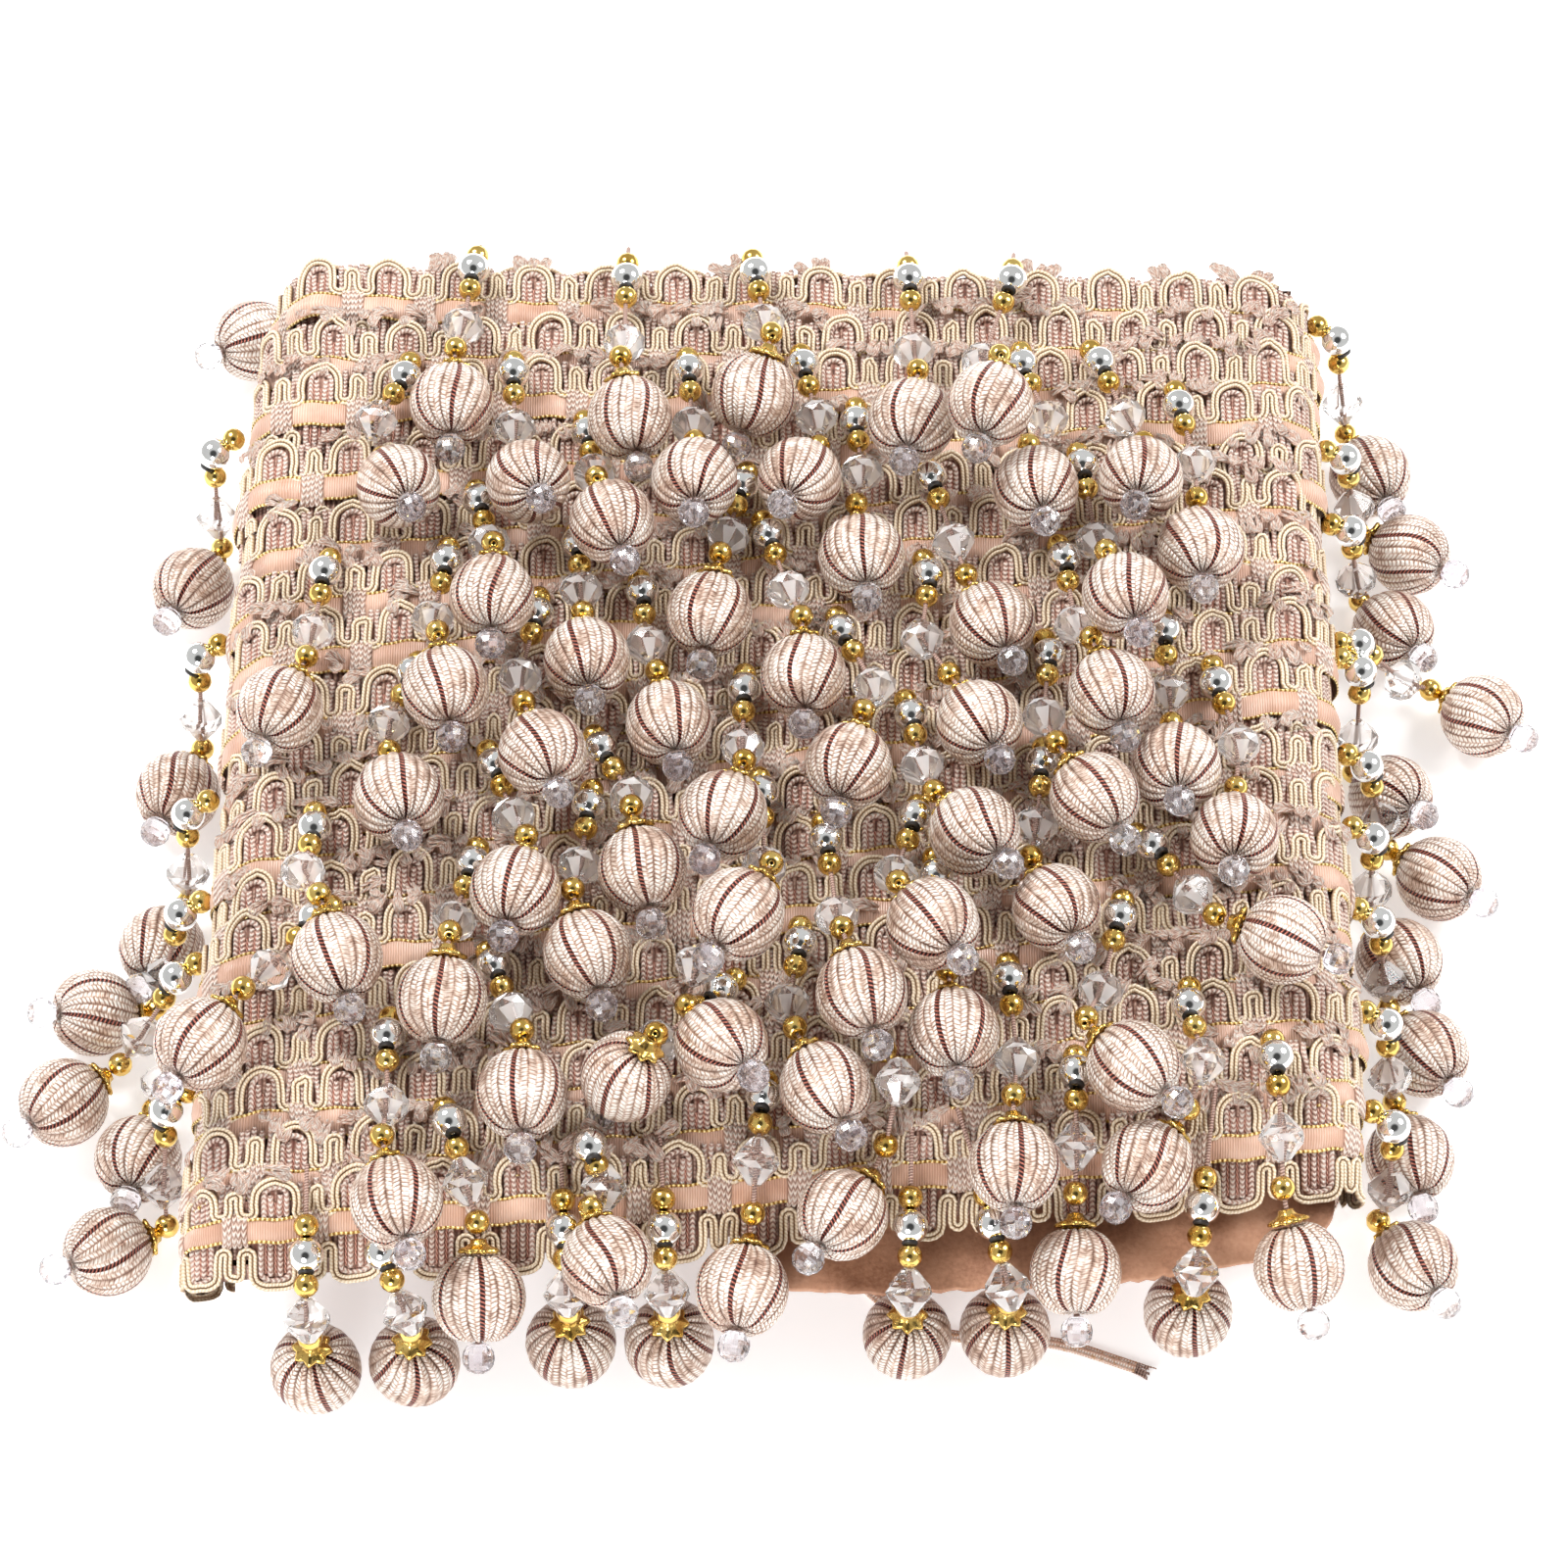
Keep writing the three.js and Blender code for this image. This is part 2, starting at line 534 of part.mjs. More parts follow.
// The loose end of the binding tape, lying on the floor in front of the pack
function looseEnd() {
  const route = new THREE.CatmullRomCurve3([
    [14, -119], [24, -136], [41, -147], [58, -148.5], [72, -150.5], [89, -156.5],
  ].map(([x, y]) => new THREE.Vector3(x, y, 1.5)));
  const shape = new THREE.Shape();
  for (let i = 0; i < 8; i += 1) {
    const a = degrees(45 * i + 22.5);
    shape[i ? 'lineTo' : 'moveTo'](1.4 * Math.cos(a), 1.4 * Math.sin(a));
  }
  shape.closePath();
  const g = new THREE.ExtrudeGeometry(shape, { steps: 14, extrudePath: route, bevelEnabled: false });
  const m = new THREE.Mesh(g, new THREE.MeshStandardMaterial({ color: 0xd9b3a2, roughness: 0.8 }));
  m.name = 'loose_end';
  return m;
}
object.add(looseEnd());

export default object;
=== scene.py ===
# Beaded fringe trim wound flat in eighteen shingled turns, lying on its back.
# All the modelling is in millimetres and is scaled to metres when a mesh is made.
import bpy
import math
import numpy as np
from functools import partialmethod
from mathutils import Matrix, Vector


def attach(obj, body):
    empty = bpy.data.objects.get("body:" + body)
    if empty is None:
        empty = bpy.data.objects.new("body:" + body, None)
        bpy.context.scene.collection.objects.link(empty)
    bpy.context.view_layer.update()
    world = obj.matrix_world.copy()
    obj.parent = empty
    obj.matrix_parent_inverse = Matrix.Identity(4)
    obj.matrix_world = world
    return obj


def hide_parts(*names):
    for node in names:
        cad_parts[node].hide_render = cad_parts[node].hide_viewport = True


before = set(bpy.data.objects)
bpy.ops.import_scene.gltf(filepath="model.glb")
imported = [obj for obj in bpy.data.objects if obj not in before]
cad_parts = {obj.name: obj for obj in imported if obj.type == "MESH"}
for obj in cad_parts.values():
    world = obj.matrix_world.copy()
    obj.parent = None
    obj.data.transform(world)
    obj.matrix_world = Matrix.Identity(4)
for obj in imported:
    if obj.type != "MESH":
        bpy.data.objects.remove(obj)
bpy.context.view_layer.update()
rng = np.random.default_rng(7)
PI = math.pi

# The wound pack: the levels of its turns and of the last one's lip, its folds, foot and side walls
TOP, STEP, UNDER = 52.0, 3.0, 24.0
LIP_TOP, LIP_UNDER = 40.0, 35.0
CORNER, GAP = 15.0, 0.35
FOOT = dict(left=-111.0, right=113.0, front=-116.0, rear=120.0)
WALL = dict(left=-144.6, right=146.2, high=38.0)

# One row for each turn: y of its upper edge at x = -125 and at x = 131, x of its left and right fold
TURNS = [
    (149, 144, -134, 143), (126, 130, -138, 144), (111, 118, -139, 144), (86, 106, -141, 143),
    (65, 89, -139, 144), (48, 77, -141, 142), (31, 61, -140, 143), (11, 47, -141, 143),
    (-5, 35, -139, 144), (-18, 20, -140, 142), (-30, -2, -141, 143), (-45, -16, -140, 142),
    (-58, -31, -142, 144), (-76, -48, -141, 143), (-90, -63, -142, 142), (-103, -76, -141, 144),
    (-118, -92, -143, 143), (-132, -107, -142, 142),
]
LOWER_EDGE = (-157, -131)
NOTHING = -100
# The strip that holds the roots of the drops, along the lower edge of a turn, and the flat part of the pack
STRIP_WIDE, STRIP_TOP = 3.4, 4.6
FLAT_FROM, FLAT_TO = -139, 142
LAST = len(TURNS)
EDGES = np.array([row[:2] for row in TURNS] + [LOWER_EDGE], float)

# The drop: how far each bead lies behind the middle of the ball, and its radius
BALL = 11.5
END_CENTRE, END_RADIUS = 14.3, 4.0
STRING = 1.1
ROOM = 1.03
STOPS = (("silver", 41.8, 4.2), ("clear", 26.3, 5.2))
NECK_BACK, NECK_RADIUS = 14.4, 3.2
REACH = 48.8
RIBS, FACETS = 18, 9
GOLD_RADIUS, SILVER_RADIUS = 3.15, 4.4
ROOT_OVER = 3.9

# Drops on the pack: turn, root x, ball x and y, yaw and nod of the far end in degrees
ON_PACK = [
    (0, -80, -87, 89, 0, 0), (0, -40, -38, 86, 10, -10), (0, -7, -6, 94, -20, -25),
    (0, 35, 35, 85, -8, 8), (0, 64, 55, 89, -15, 0),
    (2, -97, -98, 65, 20, 30), (2, -70, -64, 66, 20, 35), (2, -24, -21, 66, 0, 20),
    (2, 6, 6, 66, -20, 25), (2, 65, 67, 64, 8, 18), (2, 82, 94, 66, -10, 25),
    (3, -51, -42, 53, 15, 10), (3, 21, 22, 43, 5, 8), (3, 105, 109, 45, 0, 12),
    (4, -79, -72, 25, 0, 0), (4, -7, -19, 25, -8, -8), (4, 37, 55, 21, 20, 12),
    (4, 78, 88, 30, 12, 15),
    (5, -115, -125, -4, -20, 5), (5, -85, -83, 2, 8, 0), (5, -52, -48, 11, 5, 12),
    (5, -5, 7, 2, 0, 0),
    (6, -61, -58, -17, 18, 12), (6, -36, -27, -8, 10, 8), (6, 37, 48, -8, 20, 15),
    (6, 72, 84, -2, 12, 5),
    (7, -91, -94, -30, 12, 16), (7, 15, 18, -21, -12, 4),
    (8, -8, -17, -35, -18, 5), (8, 68, 79, -30, 30, 0), (8, 99, 101, -21, 0, 22),
    (9, -74, -64, -59, -10, 8), (9, -47, -38, -51, 10, -10), (9, 32, 49, -40, 35, 15),
    (9, 111, 113, -42, -5, 22),
    (10, -116, -107, -76, 15, -5), (10, -46, -46, -75, 15, -6), (10, -5, -9, -63, -30, 0),
    (10, 68, 69, -63, 22, 12),
    (11, -74, -81, -88, -5, -15), (11, 11, 20, -86, 15, -5), (11, 36, 37, -66, 30, 15),
    (12, -108, -139, -100, -30, 0), (12, 39, 43, -97, 3, 5), (12, 88, 124, -71, 68, 0),
    (13, -72, -61, -114, 0, -3), (13, -11, -13, -100, 35, 20), (13, 6, 13, -112, 25, 0),
    (13, 87, 86, -106, 45, 2),
    (14, -94, -90, -143, 15, 0), (14, -8, -36, -112, -60, -60), (14, 57, 57, -134, 0, -5),
    (15, 26, 16, -148, -35, 0), (15, 102, 88, -133, -35, 4),
    (16, -81, -71, -171, 0, -30), (16, -2, -8, -169, -8, -6), (16, 73, 72, -164, 0, -20),
    (16, 121, 126, -163, 16, -30),
    (17, -45, -40, -160, 15, 4),
]
# Drops over the front edge: root x, ball x and y
OVER_EDGE = [(-113, -112, -165), (-104, -88, -163), (-52, -50, -158), (-28, -26, -158),
             (33, 32, -156), (44, 56, -155), (107, 101, -150)]
# Drops beside the pack: side, root y, ball x and y, yaw and nod
BESIDE_PACK = [
    (-1, 100, -157, 69, -25, 12), (-1, 34, -157, 4, -20, 10), (-1, -14, -158, -43, -20, 10),
    (-1, -44, -174, -62, -75, 25), (-1, -62, -180, -88, -50, 5), (-1, -78, -160, -104, -8, 14),
    (-1, -98, -166, -130, -61, 15),
    (1, 138, 162, 106, 20, 10), (1, 96, 171, 80, 55, 10), (1, 72, 165, 55, 30, 20),
    (1, 34, 187, 28, 45, 18), (1, 30, 161, 3, 36, 30), (1, 0, 172, -22, 50, 12),
    (1, -22, 160, -47, 25, 5), (1, -46, 165, -74, 31, 8), (1, -76, 159, -104, 10, 0),
    (1, -104, 158, -134, 29, 15),
]
# Drops of the back, on the floor under the edge: wall, root along it, ball x and y, yaw, nod
UNDER_PACK = [
    ("left", 114, -145, 152, -60, 10), ("left", 62, -127, 96, -170, 0), ("left", 42, -127, 28, -25, 0),
    ("left", -12, -127, -30, -40, 0), ("left", -66, -128, -86, -40, 0),
    ("right", 80, 131, 124, 175, 0), ("right", 52, 130, 30, 35, 0), ("right", 4, 129, -18, 35, 0),
    ("right", -44, 130, -66, 35, 0), ("right", -80, 130, -112, 10, 0),
    ("rear", -96, -100, 147, -170, 0), ("rear", -30, -44, 148, -160, 0), ("rear", 18, 10, 149, -175, 0),
    ("rear", 60, 72, 147, 165, 0),
]


def mix(a, b, t):
    return a + (b - a) * t


def edge(k, x):
    """Upper edge of turn k (from 1) at x."""
    left, right = LOWER_EDGE if k > LAST else TURNS[k - 1][:2]
    return mix(left, right, (x + 125) / 256)


def card_edge(x):
    """The front edge of the card at x, in three straight runs."""
    return np.where(x < 26, mix(-151, -152.5, (x + 6) / 32),
                    np.where(x < 88, mix(-152.5, -149, (x - 26) / 62), mix(-149, -142, (x - 88) / 38)))


def surface(x, y):
    """Height of the pack and of the strips on it, for arrays of x and y."""
    lines = mix(EDGES[:, 0], EDGES[:, 1], ((x + 125) / 256)[..., None])
    k = np.clip((lines[..., 1:LAST] > y[..., None]).sum(-1) + 1, 1, LAST)
    a = np.take_along_axis(lines, (k - 1)[..., None], -1)[..., 0]
    b = np.take_along_axis(lines, k[..., None], -1)[..., 0]
    t = (a - y) / (a - b)
    h = np.where(k == LAST, mix(TOP + STEP, LIP_TOP, t), TOP + STEP - (STEP + 0.5) * np.maximum(t, 0))
    h = np.where((k < LAST) & (y < b + STRIP_WIDE), TOP + STRIP_TOP, h)
    below = np.where((x > -8) & (x < 138) & (y > card_edge(x) - 1), LIP_UNDER + 1, NOTHING)
    h = np.where(y < lines[..., LAST], below, h)
    return np.where((x < FLAT_FROM) | (x > FLAT_TO) | (y > lines[..., 0] + 3.5), NOTHING, h)


def direction(yaw, nod):
    a, b = math.radians(yaw), math.radians(nod)
    return np.array([math.sin(a) * math.cos(b), -math.cos(a) * math.cos(b), math.sin(b)])


# What has been laid down so far, as spheres: x, y, z, radius
laid = np.zeros((4000, 4))
laid_count = 0


def is_clear(at, r):
    d = laid[:laid_count, :3] - at
    return bool(np.all(np.einsum("ij,ij->i", d, d) > (laid[:laid_count, 3] + r + GAP + 0.15) ** 2))


def rings_of(rings):
    """The origin, and a number of points on each ring round it."""
    points = [(0.0, 0.0)]
    for radius, count in rings:
        turns = [2 * PI * i / count for i in range(count)]
        points += [(radius * math.cos(a), radius * math.sin(a)) for a in turns]
    return np.array(points)


PAD = rings_of([(0.25, 6), (0.5, 10), (0.75, 14), (0.92, 16)])
PAD_DROP = np.sqrt(1 - (PAD ** 2).sum(1))


def over_surface(at, r):
    h = surface(at[0] + PAD[:, 0] * r, at[1] + PAD[:, 1] * r)
    return bool(np.all(at[2] - r * PAD_DROP >= h + 0.5))


def is_free(at, r, room=1.0):
    return over_surface(at, r) and is_clear(at, r * room)


ASIDE = rings_of([(far_aside, 8) for far_aside in (1, 2, 3, 4, 5)])
LEVEL = TOP + BALL + 1


def settle_ball(row):
    """A ball gives way a little or rises until it lies clear."""
    _, _, bx, by, yaw, nod = row
    far = direction(yaw, nod)
    best = None
    for dx, dy in ASIDE:
        z = LEVEL - 24
        while z < LEVEL + 30:
            cost = 0.42 * z + math.hypot(dx, dy)
            if best and cost >= best[0]:
                break
            at = np.array([bx + dx, by + dy - (z - LEVEL) * 0.625, z])
            if (is_free(at, BALL, ROOM) and is_free(at + far * END_CENTRE, END_RADIUS)
                    and is_free(at - far * NECK_BACK, NECK_RADIUS)):
                best = (cost, at, far)
                break
            z += 0.5
    return best[1], best[2]


def lift_of(at, r, later):
    """How far a bead here would lift the balls that are still to come."""
    total = 0.0
    for row in later:
        flat = math.hypot(at[0] - row[2], at[1] - row[3])
        reach = BALL + r + GAP
        if flat < reach:
            total += max(0.0, at[2] + math.sqrt(reach * reach - flat * flat) - LEVEL)
    return total


def lift_between(stops):
    """Raises the beads of a string until the string between them lies free."""
    for i in range(len(stops) - 1):
        (at, r), (next_at, next_r) = stops[i], stops[i + 1]
        shares = (0.2, 0.4, 0.6, 0.8) if i > 0 else (0.6, 0.8)
        for _ in range(60):
            if all(is_free(mix(at, next_at, t), mix(r, next_r, t)) for t in shares):
                break
            if i > 0:
                at[2] += 0.3
            if i + 2 < len(stops):
                next_at[2] += 0.3


def lay_string(root, ball, far, later):
    """The beads of a drop on the pack, each at the best of nine places across the string."""
    neck = ball - far * NECK_BACK
    stops = [[root.copy(), STRING]]
    for name, back, radius in STOPS:
        t = 1 - (back - NECK_BACK) / (REACH + 2 - NECK_BACK)
        best = None
        for dx in (0, 1.5, -1.5, 3, -3, 4.5, -4.5, 6, -6):
            at = mix(root, neck, t)
            at[0] += dx * (0.4 if name == "silver" else 1)
            at[2] = TOP + radius
            while not is_free(at, radius):
                at[2] += 0.4
            cost = at[2] + 0.45 * abs(dx) + 0.5 * lift_of(at, radius, later)
            if best is None or cost < best[0]:
                best = (cost, at)
        stops.append([best[1], radius])
    stops.append([neck, NECK_RADIUS])
    lift_between(stops)
    return stops


def remember(stops, ball, far):
    global laid_count
    new = [(ball, BALL * ROOM), (ball + far * END_CENTRE, END_RADIUS)]
    for (at, r), (next_at, next_r) in zip(stops, stops[1:]):
        new += [(at, r), (mix(at, next_at, 0.5), (r + next_r) / 2)]
    for at, r in new:
        laid[laid_count] = *at, r
        laid_count += 1


def vec(*c):
    return np.array(c, float)


def on_floor(bx, by, yaw, nod):
    """A ball on the floor, its direction and its neck."""
    far, ball = direction(yaw, nod), vec(bx, by, BALL + 0.2)
    return far, ball, ball - far * NECK_BACK


def side_drops():
    for side, root_y, *lie in BESIDE_PACK:
        far, ball, neck = on_floor(*lie)
        wall = WALL["left"] if side < 0 else WALL["right"]
        root = vec(wall, root_y, WALL["high"])
        out = vec(wall + side * 6, mix(root_y, neck[1], 0.22), WALL["high"] - 2)
        middle = mix(out, neck, 0.55)
        middle[2] = mix(out[2], neck[2], 0.68)
        middle[0] = max(abs(middle[0]), abs(wall) + 6.5) * side
        stops = [[root, STRING], [out, 4.2], [middle, 5.2], [neck, NECK_RADIUS]]
        for at, radius in stops:
            at[2] = max(at[2], radius + 0.4)
        yield stops, ball, far


def under_drops():
    for wall, root_at, *lie in UNDER_PACK:
        far, ball, neck = on_floor(*lie)
        across = 1 if wall == "rear" else 0
        outward = -1 if wall == "left" else 1
        root = vec(root_at, root_at, 5.5)
        root[across] = FOOT[wall] + outward * 1.1
        stops = [[root, STRING]]
        for _, back, radius in STOPS:
            at = mix(root, neck, 1 - (back - NECK_BACK) / (REACH - NECK_BACK))
            at[across] = outward * max(outward * at[across], outward * FOOT[wall] + radius + 0.8)
            at[2] = radius + 0.4
            stops.append([at, radius])
        yield stops + [[neck, NECK_RADIUS]], ball, far


def front_drops():
    """Drops that run over the edge of the last turn and hang upright to the floor."""
    upright = END_CENTRE + 3.8
    for root_x, bx, by in OVER_EDGE:
        lip, y0 = edge(LAST + 1, bx), edge(LAST, root_x)
        ahead = min(by, lip - 5.5, card_edge(bx) - 5.5 if bx > -12 else 0)
        at = vec(mix(root_x, bx, 0.35), mix(y0, lip, 0.42), 0)
        t = (edge(LAST, at[0]) - at[1]) / (edge(LAST, at[0]) - edge(LAST + 1, at[0]))
        at[2] = mix(TOP + STEP, LIP_TOP, t) + 5.6
        stops = [[vec(root_x, y0 + 2, TOP + ROOT_OVER), STRING],
                 [vec(mix(root_x, bx, 0.04), y0 - 0.6, TOP + STEP + 2.2), 1.4], [at, 4.2],
                 [vec(mix(root_x, bx, 0.8), mix(lip, ahead, 0.5), LIP_TOP + 6.5), 3.4],
                 [vec(bx, ahead, LIP_TOP - 1), 5.2], [vec(bx, by, upright + BALL + 1.6), 3.2]]
        yield stops, vec(bx, by, upright), vec(0, 0, -1)


# Every drop as its stops, ball and direction, in the order in which they are laid
drops = [*side_drops(), *under_drops(), *front_drops()]
for drop in drops:
    remember(*drop)
for turn in range(LAST - 1, -1, -1):
    for row in [r for r in ON_PACK if r[0] == turn]:
        ball, far = settle_ball(row)
        y = edge(turn + 1, row[1]) + 2
        root = vec(row[1], y + 0.6 if turn == 0 else y, TOP + ROOT_OVER)
        stops = lay_string(root, ball, far, [r for r in ON_PACK if r[0] < turn])
        remember(stops, ball, far)
        drops.append((stops, ball, far))


class Shape:
    """Gathers grids of quads, with a UV for each point, into one mesh."""

    def __init__(self):
        self.points, self.uvs, self.faces, self.count = [], [], [], 0

    def grid(self, points, uv, closed=False):
        """A grid of points, rows by columns; closed joins the last column to the first."""
        n, m = points.shape[:2]
        self.points.append(points.reshape(-1, 3))
        self.uvs.append(np.broadcast_to(uv, (n, m, 2)).reshape(-1, 2))
        i, j = np.meshgrid(np.arange(n - 1), np.arange(m if closed else m - 1), indexing="ij")
        right = (j + 1) % m
        quads = np.stack([i * m + j, i * m + right, (i + 1) * m + right, (i + 1) * m + j], -1)
        self.faces.append(quads.reshape(-1, 4) + self.count)
        self.count += n * m

    def build(self, name, material, smooth=True):
        points = np.concatenate(self.points) / 1000
        uvs = np.concatenate(self.uvs)
        faces = np.concatenate(self.faces).astype(np.int32)
        mesh = bpy.data.meshes.new(name)
        mesh.vertices.add(len(points))
        mesh.vertices.foreach_set("co", points.ravel())
        mesh.loops.add(faces.size)
        mesh.loops.foreach_set("vertex_index", faces.ravel())
        mesh.polygons.add(len(faces))
        mesh.polygons.foreach_set("loop_start", np.arange(0, faces.size, 4, dtype=np.int32))
        mesh.update(calc_edges=True)
        layer = mesh.uv_layers.new(name="along")
        layer.data.foreach_set("uv", uvs[faces.ravel()].ravel())
        mesh.polygons.foreach_set("use_smooth", np.full(len(faces), smooth))
        mesh.validate()
        piece = bpy.data.objects.new(name, mesh)
        bpy.context.scene.collection.objects.link(piece)
        mesh.materials.append(material)
        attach(piece, "root")
        return piece


def unit(a):
    return a / np.maximum(np.linalg.norm(a, axis=-1, keepdims=True), 1e-9)


def pairs(a, b):
    return np.stack(np.broadcast_arrays(a, b), -1)


def distance_along(path):
    return np.concatenate([[0], np.cumsum(np.linalg.norm(np.diff(path, axis=0), axis=1))])


def sweep(shape, path, up, profile, closed=False, u0=0.0):
    """A profile of (across, out) pairs carried along a path; UV is millimetres along, share across."""
    path, profile = np.asarray(path, float), np.asarray(profile, float)
    along = unit(np.gradient(path, axis=0))
    side = unit(np.cross(along, np.broadcast_to(up, path.shape)))
    out = np.cross(side, along)
    rings = path[:, None] + side[:, None] * profile[:, :1] + out[:, None] * profile[:, 1:]
    count = len(profile)
    across = np.linspace(0, 1, count + 1)[:-1] if closed else np.linspace(0, 1, count)
    shape.grid(rings, pairs(u0 + distance_along(path)[:, None], across), closed)


def oval(sides, wide, thick):
    a = np.arange(sides) * 2 * PI / sides
    return np.stack([np.cos(a) * wide, np.sin(a) * thick], -1)


def smooth_path(points, per=6):
    """A Catmull-Rom curve through the points."""
    p = np.asarray(points, float)
    p = np.concatenate([[2 * p[0] - p[1]], p, [2 * p[-1] - p[-2]]])
    t = np.linspace(0, 1, per, endpoint=False)[:, None]
    out = [0.5 * (2 * b + (c - a) * t + (2 * a - 5 * b + 4 * c - d) * t ** 2
                  + (3 * b - a - 3 * c + d) * t ** 3)
           for a, b, c, d in zip(p, p[1:], p[2:], p[3:])]
    return np.concatenate(out + [p[-2:-1]])


# The braid: its height, the repeat of its pattern, and where the ribbon runs in it
BRAID, REPEAT = 31.0, 19.4
RIBBON = (11.2, 17.6)
BEND = 14.5


def row_ends(k):
    return TURNS[k - 1][2] + CORNER, TURNS[k - 1][3] - CORNER


def place(k, s, v):
    """A point of turn k: s along it (x on the flat top), v down from its upper edge."""
    left, right = row_ends(k)
    bend = np.clip((np.maximum(s - right, 0) + np.minimum(s - left, 0)) / BEND, -PI, PI)
    x = np.clip(s, left, right) + CORNER * np.sin(bend)
    pitch = edge(k, x) - edge(k + 1, x)
    t = np.clip(v / (BRAID if k == LAST else pitch), -0.3, 1.6)
    wave = 0.7 * np.sin(s / 17 + 2.1 * k) + 0.45 * np.sin(s / 6.3 + 1.3 * k)
    if k == LAST:
        y, top = edge(k, x) - pitch * v / BRAID, mix(TOP + STEP, LIP_TOP, t)
        y = y + 4.5 * np.clip((-70 - x) / 60, 0, 1) * t
        under = mix(UNDER, LIP_UNDER, np.clip(2 * t, 0, 1))
    else:
        y, top = edge(k, x) - v, TOP + STEP - (STEP + 0.5) * np.maximum(t, 0)
        under = UNDER
    if k == 1:
        y, top = y - 2.4, top - 1.2
    z = (top + under) / 2 + (top - under) / 2 * np.cos(bend)
    return np.stack(np.broadcast_arrays(x, y + wave, z + 0.25 * np.sin(s / 9 + k)), -1)


def on_row(k, s, v, h=0.0):
    """The same point raised by h, and the direction that is up there."""
    s, v, h = np.broadcast_arrays(np.asarray(s, float), np.asarray(v, float), np.asarray(h, float))
    ds = place(k, s + 0.4, v) - place(k, s - 0.4, v)
    dv = place(k, s, v + 0.4) - place(k, s, v - 0.4)
    up = unit(np.cross(dv, ds))
    return place(k, s, v) + up * h[..., None], up


def row_pitch(k, s):
    left, right = row_ends(k)
    x = np.clip(s, left - CORNER, right + CORNER)
    return np.full(np.shape(x), BRAID) if k == LAST else edge(k, x) - edge(k + 1, x)


def row_span(k):
    left, right = row_ends(k)
    return left - 2.6 * BEND, right + 2.6 * BEND


SHIFT = [rng.uniform(0, REPEAT) for _ in TURNS]


def unit_centres(k):
    lo, hi = row_span(k)
    first = lo + (SHIFT[k - 1] - lo) % REPEAT
    return np.arange(first, hi, REPEAT)


def bow(x, y, radius, down, start, stop, count):
    """Part of a circle about (x, y), from the angle start; it begins at the left and dips where down is 1."""
    turn = np.linspace(start, stop, count)
    return list(zip(x - radius * np.cos(turn), y + down * radius * np.sin(turn)))


def arch_line(high, drop_to, wide):
    """Half a repeat of the meander, from the top of the wide arch to the top of the narrow one."""
    dip, narrow = (REPEAT / 2 - wide) * 0.37, (REPEAT / 2 - wide) * 0.26
    return (bow(0, high + wide, wide, -1, PI / 2, PI, 7)
            + [(wide + 0.15, mix(high + wide, drop_to - dip, 0.5))]
            + bow(wide + dip, drop_to - dip, dip, 1, 0, PI, 7)
            + [(wide + 2 * dip + 0.1, mix(drop_to - dip, high + 4.6, 0.5))]
            + bow(REPEAT / 2, high + 3.5 + narrow, narrow, -1, 0, PI / 2, 4))


# The flat part of a scallop: share of its half width, height over its lowest line
SCALLOP = [(0, 0), (0.4, 0), (0.66, 0.4), (0.88, 1.3), (0.99, 3), (1, 6)]


def scallop_line(low, wide):
    """Half a repeat of the lower meander, from the middle of the scallop to the middle of the bar."""
    r = (REPEAT / 2 - wide) * 0.32
    narrow = REPEAT / 2 - wide - 2 * r
    return ([(share * wide, low - rise) for share, rise in SCALLOP] + bow(wide + r, low - 9, r, -1, 0, PI, 6)
            + [(wide + 2 * r, low - 6.4)] + bow(REPEAT / 2, low - 3.6, narrow, 1, 0, PI / 2, 4))


def meander(k, lower):
    """The double cord of a turn as arrays of s and v, at its upper edge or at its lower one."""
    line = []
    for c in unit_centres(k):
        for side in (-1, 1):
            high, low = 0.3 + rng.uniform(-0.5, 0.6), 11 + rng.uniform(-0.6, 0.5)
            half = arch_line(high, low, 4.6 + rng.uniform(-0.35, 0.35))
            if lower:
                half = scallop_line(BRAID - 0.4 + rng.uniform(-0.3, 0.3), 5.6 + rng.uniform(-0.3, 0.3))
            lean = rng.uniform(-0.5, 0.5)
            half = [(c + side * x + lean * math.sin(PI * min(y % 20, 11) / 11), y) for x, y in half]
            line += half[1:] if side > 0 else half[::-1][1 if line else 0:]
    return np.array(line).T


DOUBLE_CORD = [(-1.12, -0.5), (-0.95, 0.5), (-0.34, 0.56), (0, 0.0), (0.34, 0.56), (0.95, 0.5), (1.12, -0.5)]


def runs(mask):
    """Start and end of each stretch where the mask holds."""
    flags = np.concatenate([[False], mask, [False]]).astype(int)
    change = np.diff(flags)
    return zip(np.where(change == 1)[0], np.where(change == -1)[0])


def lay_line(shape, k, s, v, h, profile, past=3, least=3, spread=3):
    """A cord along a line of turn k, where the next turn doesn't cover it."""
    s, v, h = np.broadcast_arrays(s, v, h)
    for a, b in runs(v < row_pitch(k, s) + past):
        if b - a > least:
            path, up = on_row(k, s[a:b], v[a:b], h[a:b])
            sweep(shape, path, up, profile, u0=rng.uniform(0, spread))


def lay_cords(shape, k):
    for lower in (False, True):
        s, v = meander(k, lower)
        lay_line(shape, k, s, v, 1.15 + 0.3 * np.sin(s * 0.9 + k), DOUBLE_CORD, past=3.5, least=5, spread=9)


def arch_top(offset):
    """How far down the ground begins, at an offset from the middle of the wide arch."""
    return np.where(np.abs(offset) < 4.6, 5.1 - np.sqrt(np.maximum(21.2 - offset ** 2, 0)), 5.6)


def offset_in(k, s):
    return (s - SHIFT[k - 1] + REPEAT / 2) % REPEAT - REPEAT / 2


